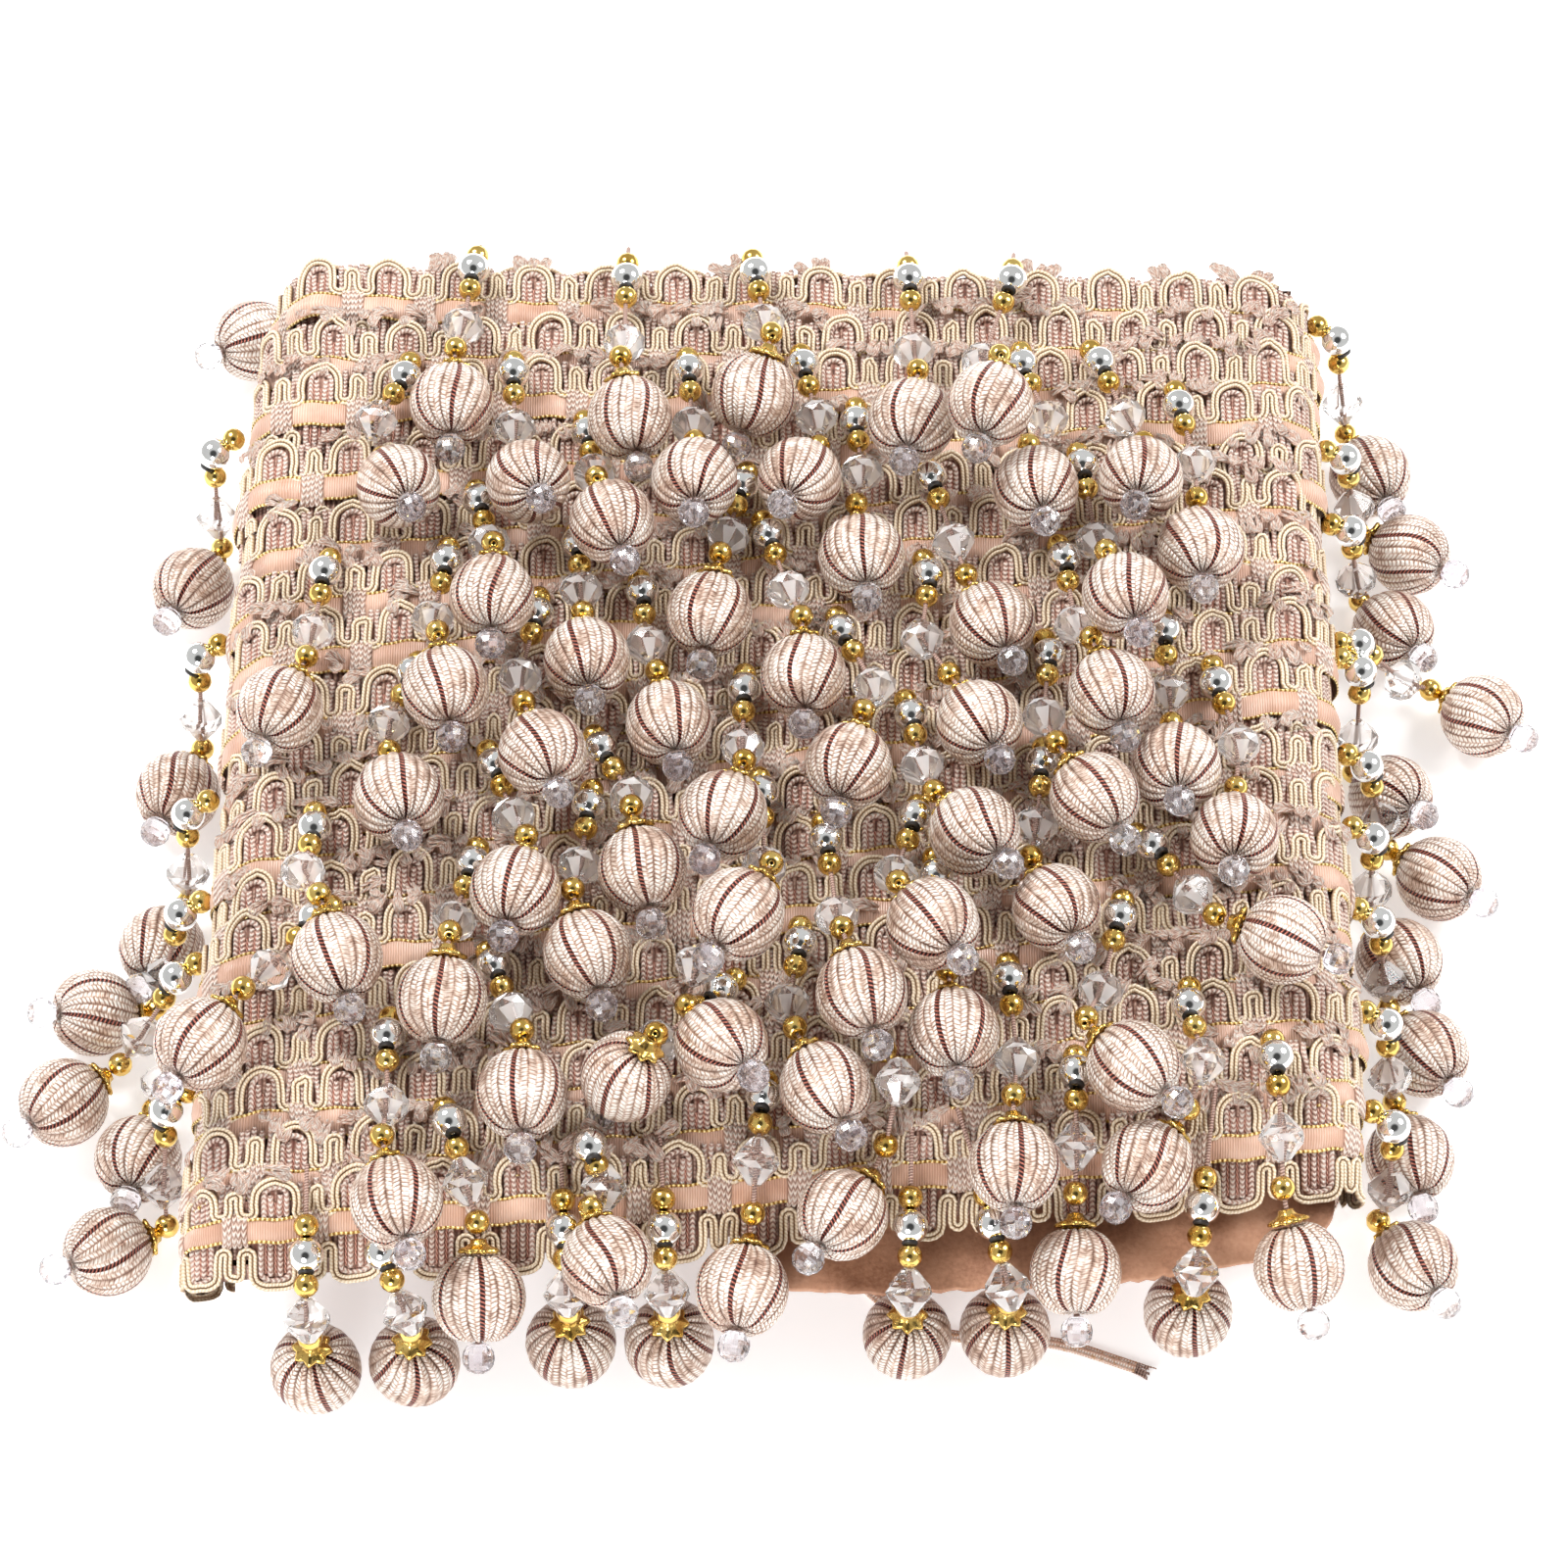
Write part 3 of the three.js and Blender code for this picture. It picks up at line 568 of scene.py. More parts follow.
def lay_ground(shape, k):
    lo, hi = row_span(k)
    s = np.arange(lo, hi, 1.6)
    off = offset_in(k, s)
    low = np.minimum(row_pitch(k, s) + 6, np.where(np.abs(off) < 5.0, BRAID - 1.6, BRAID - 8))
    top = arch_top(off) + 0.3
    v = mix(top[:, None], low[:, None], np.array([0, 0.3, 0.65, 1.0]))
    points, _ = on_row(k, s[:, None], v, 0.05)
    shape.grid(points, pairs(s[:, None], v))


RIB = [(-0.78, -0.3), (-0.36, 0.6), (0.36, 0.6), (0.78, -0.3)]
FLECK = [(-0.26, -0.1), (0, 0.3), (0.26, -0.1)]
EDGING = [(-0.4, -0.1), (-0.15, 0.26), (0.15, 0.26), (0.4, -0.1)]
# Lines of red flecks: offset from the middle of an arch, and from where to where down the turn
FLECK_LINES = [(-1.85, 4.6, RIBBON[0]), (1.85, 4.6, RIBBON[0]), (0, 6.4, RIBBON[0]),
               (-2.35, RIBBON[1], BRAID - 4), (2.35, RIBBON[1], BRAID - 4), (0, RIBBON[1], BRAID - 4)]


def hoop(c, wide, far, end, round_):
    """A hoop of chain inside an arch or a scallop: along one leg, round the far end and back."""
    sign = 1 if far > end else -1
    a = np.linspace(0, PI, 8)
    s = np.concatenate([[c - wide] * 4, c - wide * np.cos(a), [c + wide] * 4])
    leg = np.linspace(end, far - sign * round_, 5)[:-1]
    v = np.concatenate([leg, far - sign * round_ + sign * round_ * np.sin(a), leg[::-1]])
    return s, v


def lay_ribs(shape, flecks, k):
    upper_end, lower_end = RIBBON[0] + 0.8, RIBBON[1] - 0.6
    for c in unit_centres(k):
        jog = rng.uniform(-0.3, 0.3)
        s, v = hoop(c + jog, 2.75, 2.1 + rng.uniform(-0.3, 0.3), RIBBON[0] + 0.9, 2.6)
        lay_line(shape, k, s, v, 0.6, RIB)
        s, v = hoop(c + jog, 3.5, BRAID - 1.9, lower_end, 2.2)
        lay_line(shape, k, s, v, 0.6, RIB)
        for at in (-0.95, 0.95):
            v = np.linspace(4.2, upper_end, 6)
            apart = 0.35 * np.exp(-((v - 5) / 1.5) ** 2)
            lay_line(shape, k, c + jog + at + np.sign(at) * apart, v, 0.42, RIB)
            lay_line(shape, k, c + jog + at * 1.25, np.linspace(lower_end, BRAID - 3.2, 7), 0.42, RIB)
        for at, low, high in FLECK_LINES:
            lay_line(flecks, k, c + jog + at, np.linspace(low, high, 5), 0.35, FLECK)
        for i in range(5):
            at = c + REPEAT / 2 + (i - 2) * 1.75 + rng.uniform(-0.3, 0.3)
            v = np.linspace(rng.uniform(0.4, 1.8), upper_end, 6)
            sunk = 0.35 - 1.1 * np.clip((6 - v) / 5, 0, 1)
            lay_line(shape, k, at + rng.uniform(-0.5, 0.5) * np.sin(v * 0.55), v, sunk, RIB)


# How much further the ribbon stands out where it goes round the folds, by turn
LOOSE_LEFT = {1: 1.9, 4: 0.9, 9: 0.8, 13: 0.6}
LOOSE_RIGHT = {1: 1.6, 2: 1.4, 5: 1.0, 10: 1.2, 16: 0.9}


def lay_ribbon(ribbon, gold, bars, k):
    """The ribbon with its gold edges, and the bars of cord that hold it down between the arches."""
    lo, hi = row_span(k)
    s = np.arange(lo, hi, 1.3)
    bulge = np.clip(np.cos(PI * offset_in(k, s) / REPEAT), 0, 1) ** 0.6
    crumple = 0.25 * np.sin(s * 0.7 + 3 * k) * bulge
    left, right = row_ends(k)
    folded = np.clip((np.maximum(s - right, left - s) + 2) / 8, 0, 1)
    loose = 1 + np.where(s < left, LOOSE_LEFT.get(k, 0), LOOSE_RIGHT.get(k, 0)) * folded
    a, b = RIBBON
    q = np.array([0, 0.25, 0.5, 0.75, 1.0])
    crown = 1 - 0.7 * (2 * q - 1) ** 2
    for i, j in runs(row_pitch(k, s) > a - 1.5):
        if j - i < 3:
            continue
        v = a + (b - a) * q + crumple[i:j, None]
        h = 0.7 + 1.4 * (bulge * loose)[i:j, None] * (0.35 + 0.65 * crown)
        points, _ = on_row(k, s[i:j, None], v, h)
        ribbon.grid(points, pairs(s[i:j, None], q))
        for column, outward in ((0, -0.1), (4, 0.1)):
            path, up = on_row(k, s[i:j], v[:, column] + outward, h[:, column] + 0.15)
            sweep(gold, path, up, EDGING)
    for c in unit_centres(k):
        for i in range(5):
            at = c + REPEAT / 2 + (i - 2) * 1.05 + rng.uniform(-0.1, 0.1)
            low = min(b + 1.6, float(row_pitch(k, at)) + 3)
            if low - a < 2 or at > hi:
                continue
            v = np.linspace(a - 1.6, low, 6)
            h = 0.6 + 1.3 * np.sin(PI * np.clip((v - a + 1.6) / (b - a + 3.2), 0, 1)) ** 0.5
            spread = (i - 2) * 0.16 * ((v - (a + b) / 2) / 3.5) ** 2
            path, up = on_row(k, at + spread, v, h)
            sweep(bars, path, up, RIB, u0=rng.uniform(0, 3))


STRAND = [(-0.36, -0.2), (0, 0.34), (0.36, -0.2)]


def lay_loop(shape, k, s, v, turn, length, width, height):
    """A loop of three strands that lies over the turn, from its root out and back."""
    q = np.linspace(-1, 1, 7)
    out = length * (1 - np.abs(q) ** 2.4)
    across = width * np.sin(PI * q / 2) * (0.55 + 0.45 * (1 - np.abs(q) ** 2))
    c, w = math.cos(turn), math.sin(turn)
    h = height + 0.9 * np.sin(PI * np.clip(out / length, 0, 1) * 0.8) - 1.5 * np.abs(q) ** 6
    for i in (-1, 0, 1):
        wide, far = across + 0.56 * i * (1.1 - np.abs(q) ** 3), out + 0.3 * i * np.abs(q)
        lift = 0.25 * (i == 0) + rng.uniform(0, 0.3)
        path, up = on_row(k, s + far * w + wide * c, v + far * c - wide * w, h + lift)
        sweep(shape, path, up, STRAND, u0=rng.uniform(0, 5))


def lay_loops(shape, k):
    """Loops of the turn above, pulled over the upper edge of turn k with the strings."""
    lo, hi = row_ends(k)
    s = lo - 16
    while s < hi + 16:
        clump = math.sin(s / 13 + 1.7 * k) + math.sin(s / 5.1 + 2.9 * k)
        if clump > -0.3:
            lay_loop(shape, k, s, v=rng.uniform(-4.6, -0.8), turn=rng.normal(0, 0.85),
                     length=rng.uniform(3.0, 6.4), width=rng.uniform(0.75, 1.5),
                     height=rng.uniform(0.7, 1.5) - (0.4 if clump < 0.8 else 0))
        s += rng.uniform(2.0, 3.5)


# Tufts of loops that stand up over the rear edge: x, lean and reach
TUFTS = [(-94, -0.5, 5), (-91, 0.3, 3.5), (-70, 0.2, 3.5), (-67, -0.4, 3), (-15, -0.9, 5), (-12, 0.4, 4),
         (10, 0.2, 3), (66, 0.1, 5), (69, -0.6, 4), (104, 0.5, 3), (123, 0.8, 5), (126, -0.3, 3.5)]


def lay_tufts(shape):
    for x, lean, reach in TUFTS:
        for i in range(3):
            lay_loop(shape, 1, x + 1.4 * i, 2.5, turn=PI + lean + rng.normal(0, 0.3),
                     length=reach + 2.5 + rng.uniform(-0.8, 0.8), width=rng.uniform(0.7, 1.2),
                     height=rng.uniform(-0.6, 0.6))


def axes_of(far, roll=0.0):
    """Two directions across an axis, turned by roll."""
    hint = np.array([0, 0, 1.0]) if abs(far[2]) < 0.9 else np.array([0, 1.0, 0])
    a = unit(np.cross(far, hint))
    b = np.cross(far, a)
    return a * math.cos(roll) + b * math.sin(roll), -a * math.sin(roll) + b * math.cos(roll)


def revolve(shape, at, far, line, sides, roll=0.0, swell=None, half_turned=None):
    """A line of (along, radius) pairs turned about an axis through a point."""
    a, b = axes_of(far, roll)
    line = np.asarray(line, float)
    angle = np.tile(np.arange(sides) * 2 * PI / sides, (len(line), 1))
    if half_turned is not None:
        angle[half_turned] += PI / sides
    r = line[:, 1:] * (1 if swell is None else swell(angle, line[:, :1]))
    rings = (at + far * line[:, 0][:, None, None] + a * (np.cos(angle) * r)[..., None]
             + b * (np.sin(angle) * r)[..., None])
    uv = pairs(np.arange(sides) / sides, np.linspace(0, 1, len(line))[:, None])
    shape.grid(rings, uv, closed=True)


def wrapped_ball(shape, at, far, radius=BALL, around=72, rows=16):
    """A ball wrapped in satin: ribs from pole to pole, drawn in at the poles, with a slight twist."""
    a, b = axes_of(far, rng.uniform(0, 2 * PI))
    polar = np.linspace(0, PI, rows + 1)
    p = (polar + 0.055 * np.sin(2 * polar))[:, None]
    q = np.linspace(0, 2 * PI, around + 1)[None, :]
    twist, bend = rng.uniform(-0.5, 0.5), rng.uniform(-0.16, 0.16)
    turned = q + twist * (p / PI - 0.5) + bend * np.sin(p * 2)
    radius = radius * rng.uniform(0.96, 1.0)
    deep = 0.011 + 0.085 * np.abs(np.cos(p)) ** 3
    ribs = np.abs(np.sin(RIBS / 2 * q)) - 0.62
    r = radius * (0.985 + deep * ribs + 0.008 * np.sin(3 * q + 1) * np.sin(p))
    hollow = 1 - 0.2 * np.exp(-((np.sin(p)) / 0.3) ** 2)
    z, flat = -np.cos(p) * r * hollow, np.sin(p) * r
    points = (at + far * z[..., None] + a * (np.cos(turned) * flat)[..., None]
              + b * (np.sin(turned) * flat)[..., None])
    shape.grid(points, pairs(q / (2 * PI), p / PI))


def bead(shape, at, far, radius, sides=12, rows=7, hole=0.28):
    tilt = np.linspace(hole, PI - hole, rows)
    line = [(-math.cos(t) * radius * 0.97, math.sin(t) * radius) for t in tilt]
    line = [(line[0][0] + 0.35, line[0][1] * 0.55)] + line + [(line[-1][0] - 0.35, line[-1][1] * 0.55)]
    revolve(shape, at, far, line, sides, rng.uniform(0, 1))


def faceted_bead(shape, at, far):
    """A clear bead with long facets at both ends and a girdle of small ones."""
    girdle = 3
    line = [(-5.9, 1.2), (-5.5, 1.9), (-1.7, 5.1), (0, 5.8), (1.7, 5.1), (5.5, 1.9), (5.9, 1.2)]
    revolve(shape, at, far, line, FACETS, rng.uniform(0, 1), half_turned=girdle)


def end_bead(shape, at, far):
    line = [(-3.7, 1.2), (-3.0, 2.7), (-1.6, 3.7), (0, 4.0), (1.6, 3.7), (3.0, 2.7), (3.7, 1.2), (3.75, 0.1)]
    revolve(shape, at, far, line, 12, rng.uniform(0, 1))


def petals(angle, along):
    return 1 + 0.16 * np.clip((along + 2.4) / 3.2, 0, 1) * np.cos(8 * angle)


def cap(shape, at, far):
    """A small cap with eight petals, over the pole of the ball."""
    line = [(-2.6, 1.1), (-2.4, 1.9), (-1.5, 2.1), (-0.8, 2.9), (-0.4, 3.9), (0.0, 4.5), (0.7, 4.55),
            (0.9, 4.0)]
    revolve(shape, at, far, line, 32, rng.uniform(0, 1), swell=petals)


def collar(shape, at, far, radius, thick, sides=12):
    """A thin ring round the string."""
    ring = [(math.sin(t) * thick, radius + math.cos(t) * thick) for t in np.linspace(0, 2 * PI, 7)]
    revolve(shape, at, far, ring, sides)


# Beads of a drop over the front edge: how far each lies from the neck along the string
HANGING = (("gold", 4.4), ("clear", 13.2), ("gold", 22.0), ("silver", 29.3), ("gold", 36.4))


def string_of(stops, ball, far):
    """The beads on a drop: name, centre, direction."""
    if len(stops) == 6:
        root, rise, over, lip, low, neck = [stop[0] for stop in stops]
        line = np.array([neck, low + (0, -0.6, 3.5), lip + (0, 0.3, 2.5), over, rise, root])
        run = distance_along(line)
        made = []
        for name, far_off in HANGING:
            if far_off < run[-1] - 0.5:
                at, before = [np.array([np.interp(d, run, line[:, i]) for i in range(3)])
                              for d in (far_off, far_off - 1.5)]
                made.append((name, at, unit(before - at)))
        return made
    root, s, c, n = [stop[0] for stop in stops]
    into_s, s_to_c, c_to_n = unit(s - root), unit(c - s), unit(n - c)
    room = np.linalg.norm(s - root)
    last_gold = n - far * (2.9 if np.linalg.norm(n - c) > 10.5 else 2.4)
    return [("silver", s, unit(into_s + s_to_c)), ("clear", c, unit(s_to_c + c_to_n)),
            ("gold", s - into_s * min(7.1, max(room - 1.0, 5.5)), into_s),
            ("gold", s + s_to_c * min(7.2, np.linalg.norm(c - s) * 0.47), s_to_c),
            ("gold", mix(last_gold, c + c_to_n * 8.3, 0.35), c_to_n)]


class Value:
    """A number that a material works out at each point, with the usual arithmetic."""

    def __init__(self, nodes, socket):
        self.nodes, self.socket = nodes, socket

    def do(self, operation, *others):
        return self.nodes.math(operation, self, *others)

    def __rsub__(self, other):
        return self.nodes.math("SUBTRACT", other, self)

    __add__ = partialmethod(do, "ADD")
    __sub__ = partialmethod(do, "SUBTRACT")
    __mul__ = partialmethod(do, "MULTIPLY")
    __pow__ = partialmethod(do, "POWER")
    __gt__ = partialmethod(do, "GREATER_THAN")
    __abs__ = partialmethod(do, "ABSOLUTE")
    fract = partialmethod(do, "FRACT")
    floor = partialmethod(do, "FLOOR")
    sine = partialmethod(do, "SINE")

    def waves(self, per=1.0):
        """A sine from 0 to 1 with a number of waves for each unit."""
        return (self * (2 * PI * per)).sine() * 0.5 + 0.5

    def step(self, low, high):
        """0 up to low, 1 from high on, and a straight line between them."""
        inputs = {"Value": self, 1: low, 2: high}
        return Value(self.nodes, self.nodes.node("MapRange", inputs).outputs[0])


class Nodes:
    """A short way to write a node material."""

    def __init__(self, name):
        self.material = bpy.data.materials.new(name)
        self.material.use_nodes = True
        self.tree = self.material.node_tree
        self.tree.nodes.clear()
        out = self.tree.nodes.new("ShaderNodeOutputMaterial")
        self.shader = self.tree.nodes.new("ShaderNodeBsdfPrincipled")
        self.tree.links.new(self.shader.outputs[0], out.inputs[0])

    def put(self, target, value):
        value = getattr(value, "socket", value)
        if hasattr(value, "links"):
            self.tree.links.new(value, target)
        else:
            target.default_value = value

    def set(self, **values):
        for name, value in values.items():
            self.put(self.shader.inputs[name.replace("_", " ")], value)

    def node(self, kind, inputs=(), **settings):
        made = self.tree.nodes.new("ShaderNode" + kind)
        for name, value in settings.items():
            setattr(made, name, value)
        for key, value in dict(inputs).items():
            self.put(made.inputs[key], value)
        return made

    def math(self, operation, *values):
        inputs = dict(enumerate(values))
        return Value(self, self.node("Math", inputs, operation=operation).outputs[0])

    def place(self):
        return self.node("TexCoord").outputs["Object"]

    def uv(self):
        apart = self.node("SeparateXYZ", {0: self.node("UVMap", uv_map="along").outputs[0]})
        return Value(self, apart.outputs[0]), Value(self, apart.outputs[1])

    def pair(self, x, y):
        return self.node("CombineXYZ", {0: x, 1: y}).outputs[0]

    def noise(self, scale, detail=2.0, rough=0.5, at=None):
        inputs = {"Vector": at or self.place(), "Scale": scale, "Detail": detail, "Roughness": rough}
        return Value(self, self.node("TexNoise", inputs).outputs["Fac"])

    def ramp(self, value, *stops):
        made = self.node("ValToRGB", {0: value})
        bar = made.color_ramp
        while len(bar.elements) < len(stops):
            bar.elements.new(0.5)
        for element, (at, color) in zip(bar.elements, stops):
            element.position, element.color = at, (*color, 1)
        return made.outputs[0]

    def blend(self, share, a, b):
        made = self.node("Mix", data_type="RGBA")
        self.put(made.inputs[0], share)
        for socket, value in ((made.inputs[6], a), (made.inputs[7], b)):
            self.put(socket, (*value, 1) if isinstance(value, tuple) else value)
        return made.outputs[2]

    def relief(self, height, depth):
        """Bump of a depth in millimetres; the material is then complete."""
        inputs = {"Height": height, "Distance": depth / 1000, "Strength": 1.0}
        self.put(self.shader.inputs["Normal"], self.node("Bump", inputs).outputs[0])
        return self.material


def srgb(r, g, b):
    return tuple(((c / 255 + 0.055) / 1.055) ** 2.4 if c > 10 else c / 255 / 12.92 for c in (r, g, b))


def yarn_material(name, light, dark, per, slant=1.2):
    """A chain or twisted strand: a chevron along it, with loose silky fibres. Its colour follows the relief:
    painted shade in the hollows and at the sides, a painted highlight on the crests.
    """
    n = Nodes(name)
    u, v = n.uv()
    away = abs(v.fract() - 0.5)
    chevron = (away * slant + u * per).waves()
    fibre = (u * 0.8 + v * 8).waves()
    height = (fibre * 0.25 + chevron) * (1 - (away * 2) ** 3)
    # painted shade and highlight: the tone darkens in the relief's hollows and at the strand's sides and
    # lightens on its crests, up to the near-white top of the ramp
    tone = n.noise(170, 4) * 0.5 + height * 0.62
    middle = tuple(mix(p, q, 0.35) for p, q in zip(light, dark))
    n.set(Base_Color=n.ramp(tone, (0.2, dark), (0.42, middle), (0.58, light), (0.85, srgb(255, 240, 228))),
          Roughness=n.noise(400) * 0.2 + 0.36, Sheen_Weight=0.06, Specular_IOR_Level=0.5)
    return n.relief(height, 0.42)


def cord_material():
    """Two twisted cream cords side by side. Their colour follows the relief: painted olive shade between them
    and at their sides, painted highlights on their crowns.
    """
    n = Nodes("cream_cord")
    u, v = n.uv()
    lane = (v * 2).fract()
    twist = (lane * 0.8 + u * 1.15).waves()
    height = (twist * 0.35 + 0.65) * (lane * PI).sine()
    # painted shade and highlight: dark olive where the cords are low, near white on their crowns
    tone = n.noise(220, 3) * 0.25 + height * 0.8
    n.set(Base_Color=n.ramp(tone, (0.16, srgb(84, 54, 34)), (0.4, srgb(168, 134, 100)),
                            (0.62, srgb(218, 192, 158)), (0.85, srgb(244, 228, 204))),
          Roughness=0.36, Sheen_Weight=0.05)
    return n.relief(height, 0.3)


def ribbon_material():
    """Satin with fine ribs across it."""
    n = Nodes("satin_ribbon")
    ribs = (n.noise(90) * 0.4 + n.uv()[0] * 1.6).waves()
    tone = n.noise(110, 4) * 0.7 + ribs * 0.22
    n.set(Base_Color=n.ramp(tone, (0.2, srgb(176, 126, 100)), (0.5, srgb(212, 168, 144)),
                            (0.8, srgb(244, 212, 192))),
          Roughness=n.noise(60) * 0.2 + 0.22, Sheen_Weight=0.2, Anisotropic=0.4)
    return n.relief(n.noise(70, 3) * 2 + ribs, 0.1)


def gold_edge_material():
    """Gold thread that shows as a row of dots."""
    n = Nodes("gold_thread")
    fleck = n.noise(500) * 0.6 + n.uv()[0].waves(0.85) * 0.7
    n.set(Base_Color=n.ramp(fleck, (0.3, srgb(132, 92, 40)), (0.6, srgb(220, 178, 100)),
                            (0.9, srgb(252, 230, 168))),
          Metallic=0.75, Roughness=0.3)
    return n.relief(fleck, 0.35)


def ground_material():
    """The woven backing seen between the ribs: blush threads with painted shade in the gaps between them, and
    red flecks.
    """
    n = Nodes("braid_ground")
    u, v = n.uv()
    height = u.waves(1 / 1.42) * (v.waves(0.9) * 0.4 + 0.6)
    cell = n.node("TexVoronoi", {"Vector": n.place(), "Scale": 620.0}, feature="F1").outputs["Color"]
    red = Value(n, n.node("SeparateColor", {0: cell}).outputs[0]) > 0.72
    # painted shade: the tone darkens between the threads, where the relief is low
    tone = n.noise(260, 3) * 0.6 + height * 0.5
    base = n.ramp(tone, (0.25, srgb(92, 56, 44)), (0.5, srgb(164, 122, 104)), (0.85, srgb(222, 186, 168)))
    n.set(Base_Color=n.blend(red * 0.35, base, srgb(176, 98, 82)), Roughness=0.62, Sheen_Weight=0.05)
    return n.relief(height, 0.6)


def ball_material():
    """Satin wrap in ribs with a herringbone of threads and six brown rope stripes. The satin carries painted
    sheen in patches and streaks, and the pleats carry painted shade that deepens towards the poles.
    """
    n = Nodes("satin_wrap")
    u, v = n.uv()
    rib = (u * RIBS).fract()
    side = abs(rib - 0.5)
    thick = (v * PI).sine()
    wobble = n.noise(260, 2) * 1.1
    rows = v * 31 + wobble + (rib > 0.5) * 0.5
    brick = (side * 1.2 + rows).waves() * abs((rib * (2 * PI)).sine())
    fine = (side * 1.3 + (v * 62 + wobble)).waves()
    # painted sheen: noise patches where the weave turns bright
    painted_sheen = n.noise(130, 2).step(0.38, 0.62)
    weave = brick * (painted_sheen * 0.9 + 0.3) + fine * 0.22
    thread = (side * 3 + v * 128).waves()
    groove = (side * 2) ** 4
    edge_of_third = abs((u * (RIBS / 3)).fract() - 0.5)
    width = (1 - thick) * -0.05 + 0.438
    stripe = edge_of_third.step(width, width + 0.015)
    rope = (u * 30 + v * 34).waves()
    # painted sheen: streaks stretched along the ribs that lighten the satin
    painted_sheen_streaks = n.noise(1.0, 3.0, at=n.pair(u * 40, v * 14))
    # tone: the weave pattern and random tone, plus painted sheen up to the near-white top of the ramp and
    # painted shade in the pleats
    tone = weave * 0.42 + painted_sheen_streaks * 0.5 + n.noise(110, 4, 0.6) * 0.4 + thread * 0.08 - groove * 0.1
    satin = n.ramp(tone, (0.34, srgb(104, 70, 56)), (0.48, srgb(166, 132, 112)), (0.6, srgb(212, 184, 166)),
                   (0.77, srgb(255, 248, 240)))
    # painted shade: the pleats darken towards a brown shade colour, most at the poles where they draw in
    satin = n.blend(groove * (1 - thick * 0.93), satin, srgb(96, 64, 54))
    # rope stripes: the light strands of the twist are partly the cord's own pale fibres and partly a painted
    # highlight on its crests
    brown = n.ramp(rope, (0.3, srgb(34, 8, 6)), (0.62, srgb(104, 36, 28)), (0.92, srgb(196, 118, 98)))
    height = weave * 0.5 + thread * 0.12 - groove * 0.5 + stripe * (rope + 0.8) * 0.6
    n.set(Base_Color=n.blend(stripe, satin, brown), Metallic=0.4, Roughness=n.noise(300) * 0.14 + 0.26,
          Anisotropic=0.5, Specular_IOR_Level=0.6)
    return n.relief(height, 0.42)


def metal_material(name, light, dark, rough, dent=0.05):
    n = Nodes(name)
    n.set(Base_Color=n.ramp(n.noise(140, 4), (0.3, dark), (0.65, light)), Metallic=1.0,
          Roughness=n.noise(700) * rough + rough * 0.6)
    return n.relief(n.noise(420, 3), dent)


def clear_material(name, tint, painted_glint_share):
    """Clear plastic, with a painted white highlight on some facets: these let less light through and show the
    pale base colour.
    """
    n = Nodes(name)
    u, v = n.uv()
    facet = n.node("TexWhiteNoise", {"Vector": n.pair((u * FACETS).floor(), (v * 6).floor()), "W": 2.0},
                   noise_dimensions="4D").outputs["Value"]
    # painted highlight: chosen facets pass less light and turn white
    painted_glint = (Value(n, facet) > 0.62) * painted_glint_share
    n.set(Base_Color=n.ramp(n.noise(90), (0.3, tint), (0.7, (1.0, 0.99, 0.99))), Alpha=0.96,
          Roughness=n.noise(300) * 0.05, Transmission_Weight=0.98 - painted_glint, IOR=1.5, Specular_IOR_Level=1.0)
    return n.material


def thread_material(name, light, dark, per=1.4):
    n = Nodes(name)
    u, v = n.uv()
    twist = (u * per + v).waves()
    n.set(Base_Color=n.ramp(twist, (0.2, dark), (0.8, light)), Roughness=0.5)
    return n.relief(twist, 0.2)


def tape_material():
    """A narrow plain weave with gold flecks."""
    n = Nodes("tape_weave")
    u, v = n.uv()
    check = u.waves(1.4) * v.waves(7)
    fleck = n.noise(900, 1) > 0.6
    base = n.ramp(check * 0.7 + n.noise(300) * 0.4, (0.1, srgb(196, 150, 128)), (0.35, srgb(240, 208, 188)),
                  (0.7, srgb(255, 244, 234)))
    n.set(Base_Color=n.blend(fleck * 0.5, base, srgb(196, 140, 70)), Roughness=0.5)
    return n.relief(check, 0.3)


def card_material():
    """Mottled brown board."""
    n = Nodes("card_board")
    fold = n.noise(45, 6, 0.65)
    n.set(Base_Color=n.ramp(n.noise(900, 2) * 0.3 + fold * 0.8, (0.35, srgb(140, 92, 66)),
                            (0.55, srgb(184, 134, 104)), (0.8, srgb(206, 160, 130))),
          Roughness=fold * 0.25 + 0.4)
    return n.relief(fold, 1.2)


# Plait, chain and cord: the light colour serves as the painted highlight on the crests and the dark one as
# the painted shade in the hollows; the blush colour lies between them
yarn = yarn_material("blush_plait", srgb(255, 224, 204), srgb(204, 146, 122), 0.45)
chain = yarn_material("blush_chain", srgb(240, 200, 182), srgb(118, 68, 54), 0.8)
bar_cord = yarn_material("blush_cord", srgb(236, 200, 180), srgb(136, 90, 72), 0.6, slant=1.8)
cream = cord_material()
satin_ribbon = ribbon_material()
gold_thread = gold_edge_material()
ground = ground_material()
wrap = ball_material()
gold = metal_material("gold_bead", srgb(240, 208, 124), srgb(206, 162, 72), 0.14)
cap_gold = metal_material("gold_cap", srgb(240, 206, 122), srgb(178, 134, 56), 0.2, 0.3)
silver = metal_material("silver_bead", srgb(254, 254, 252), srgb(240, 240, 238), 0.06, 0.01)
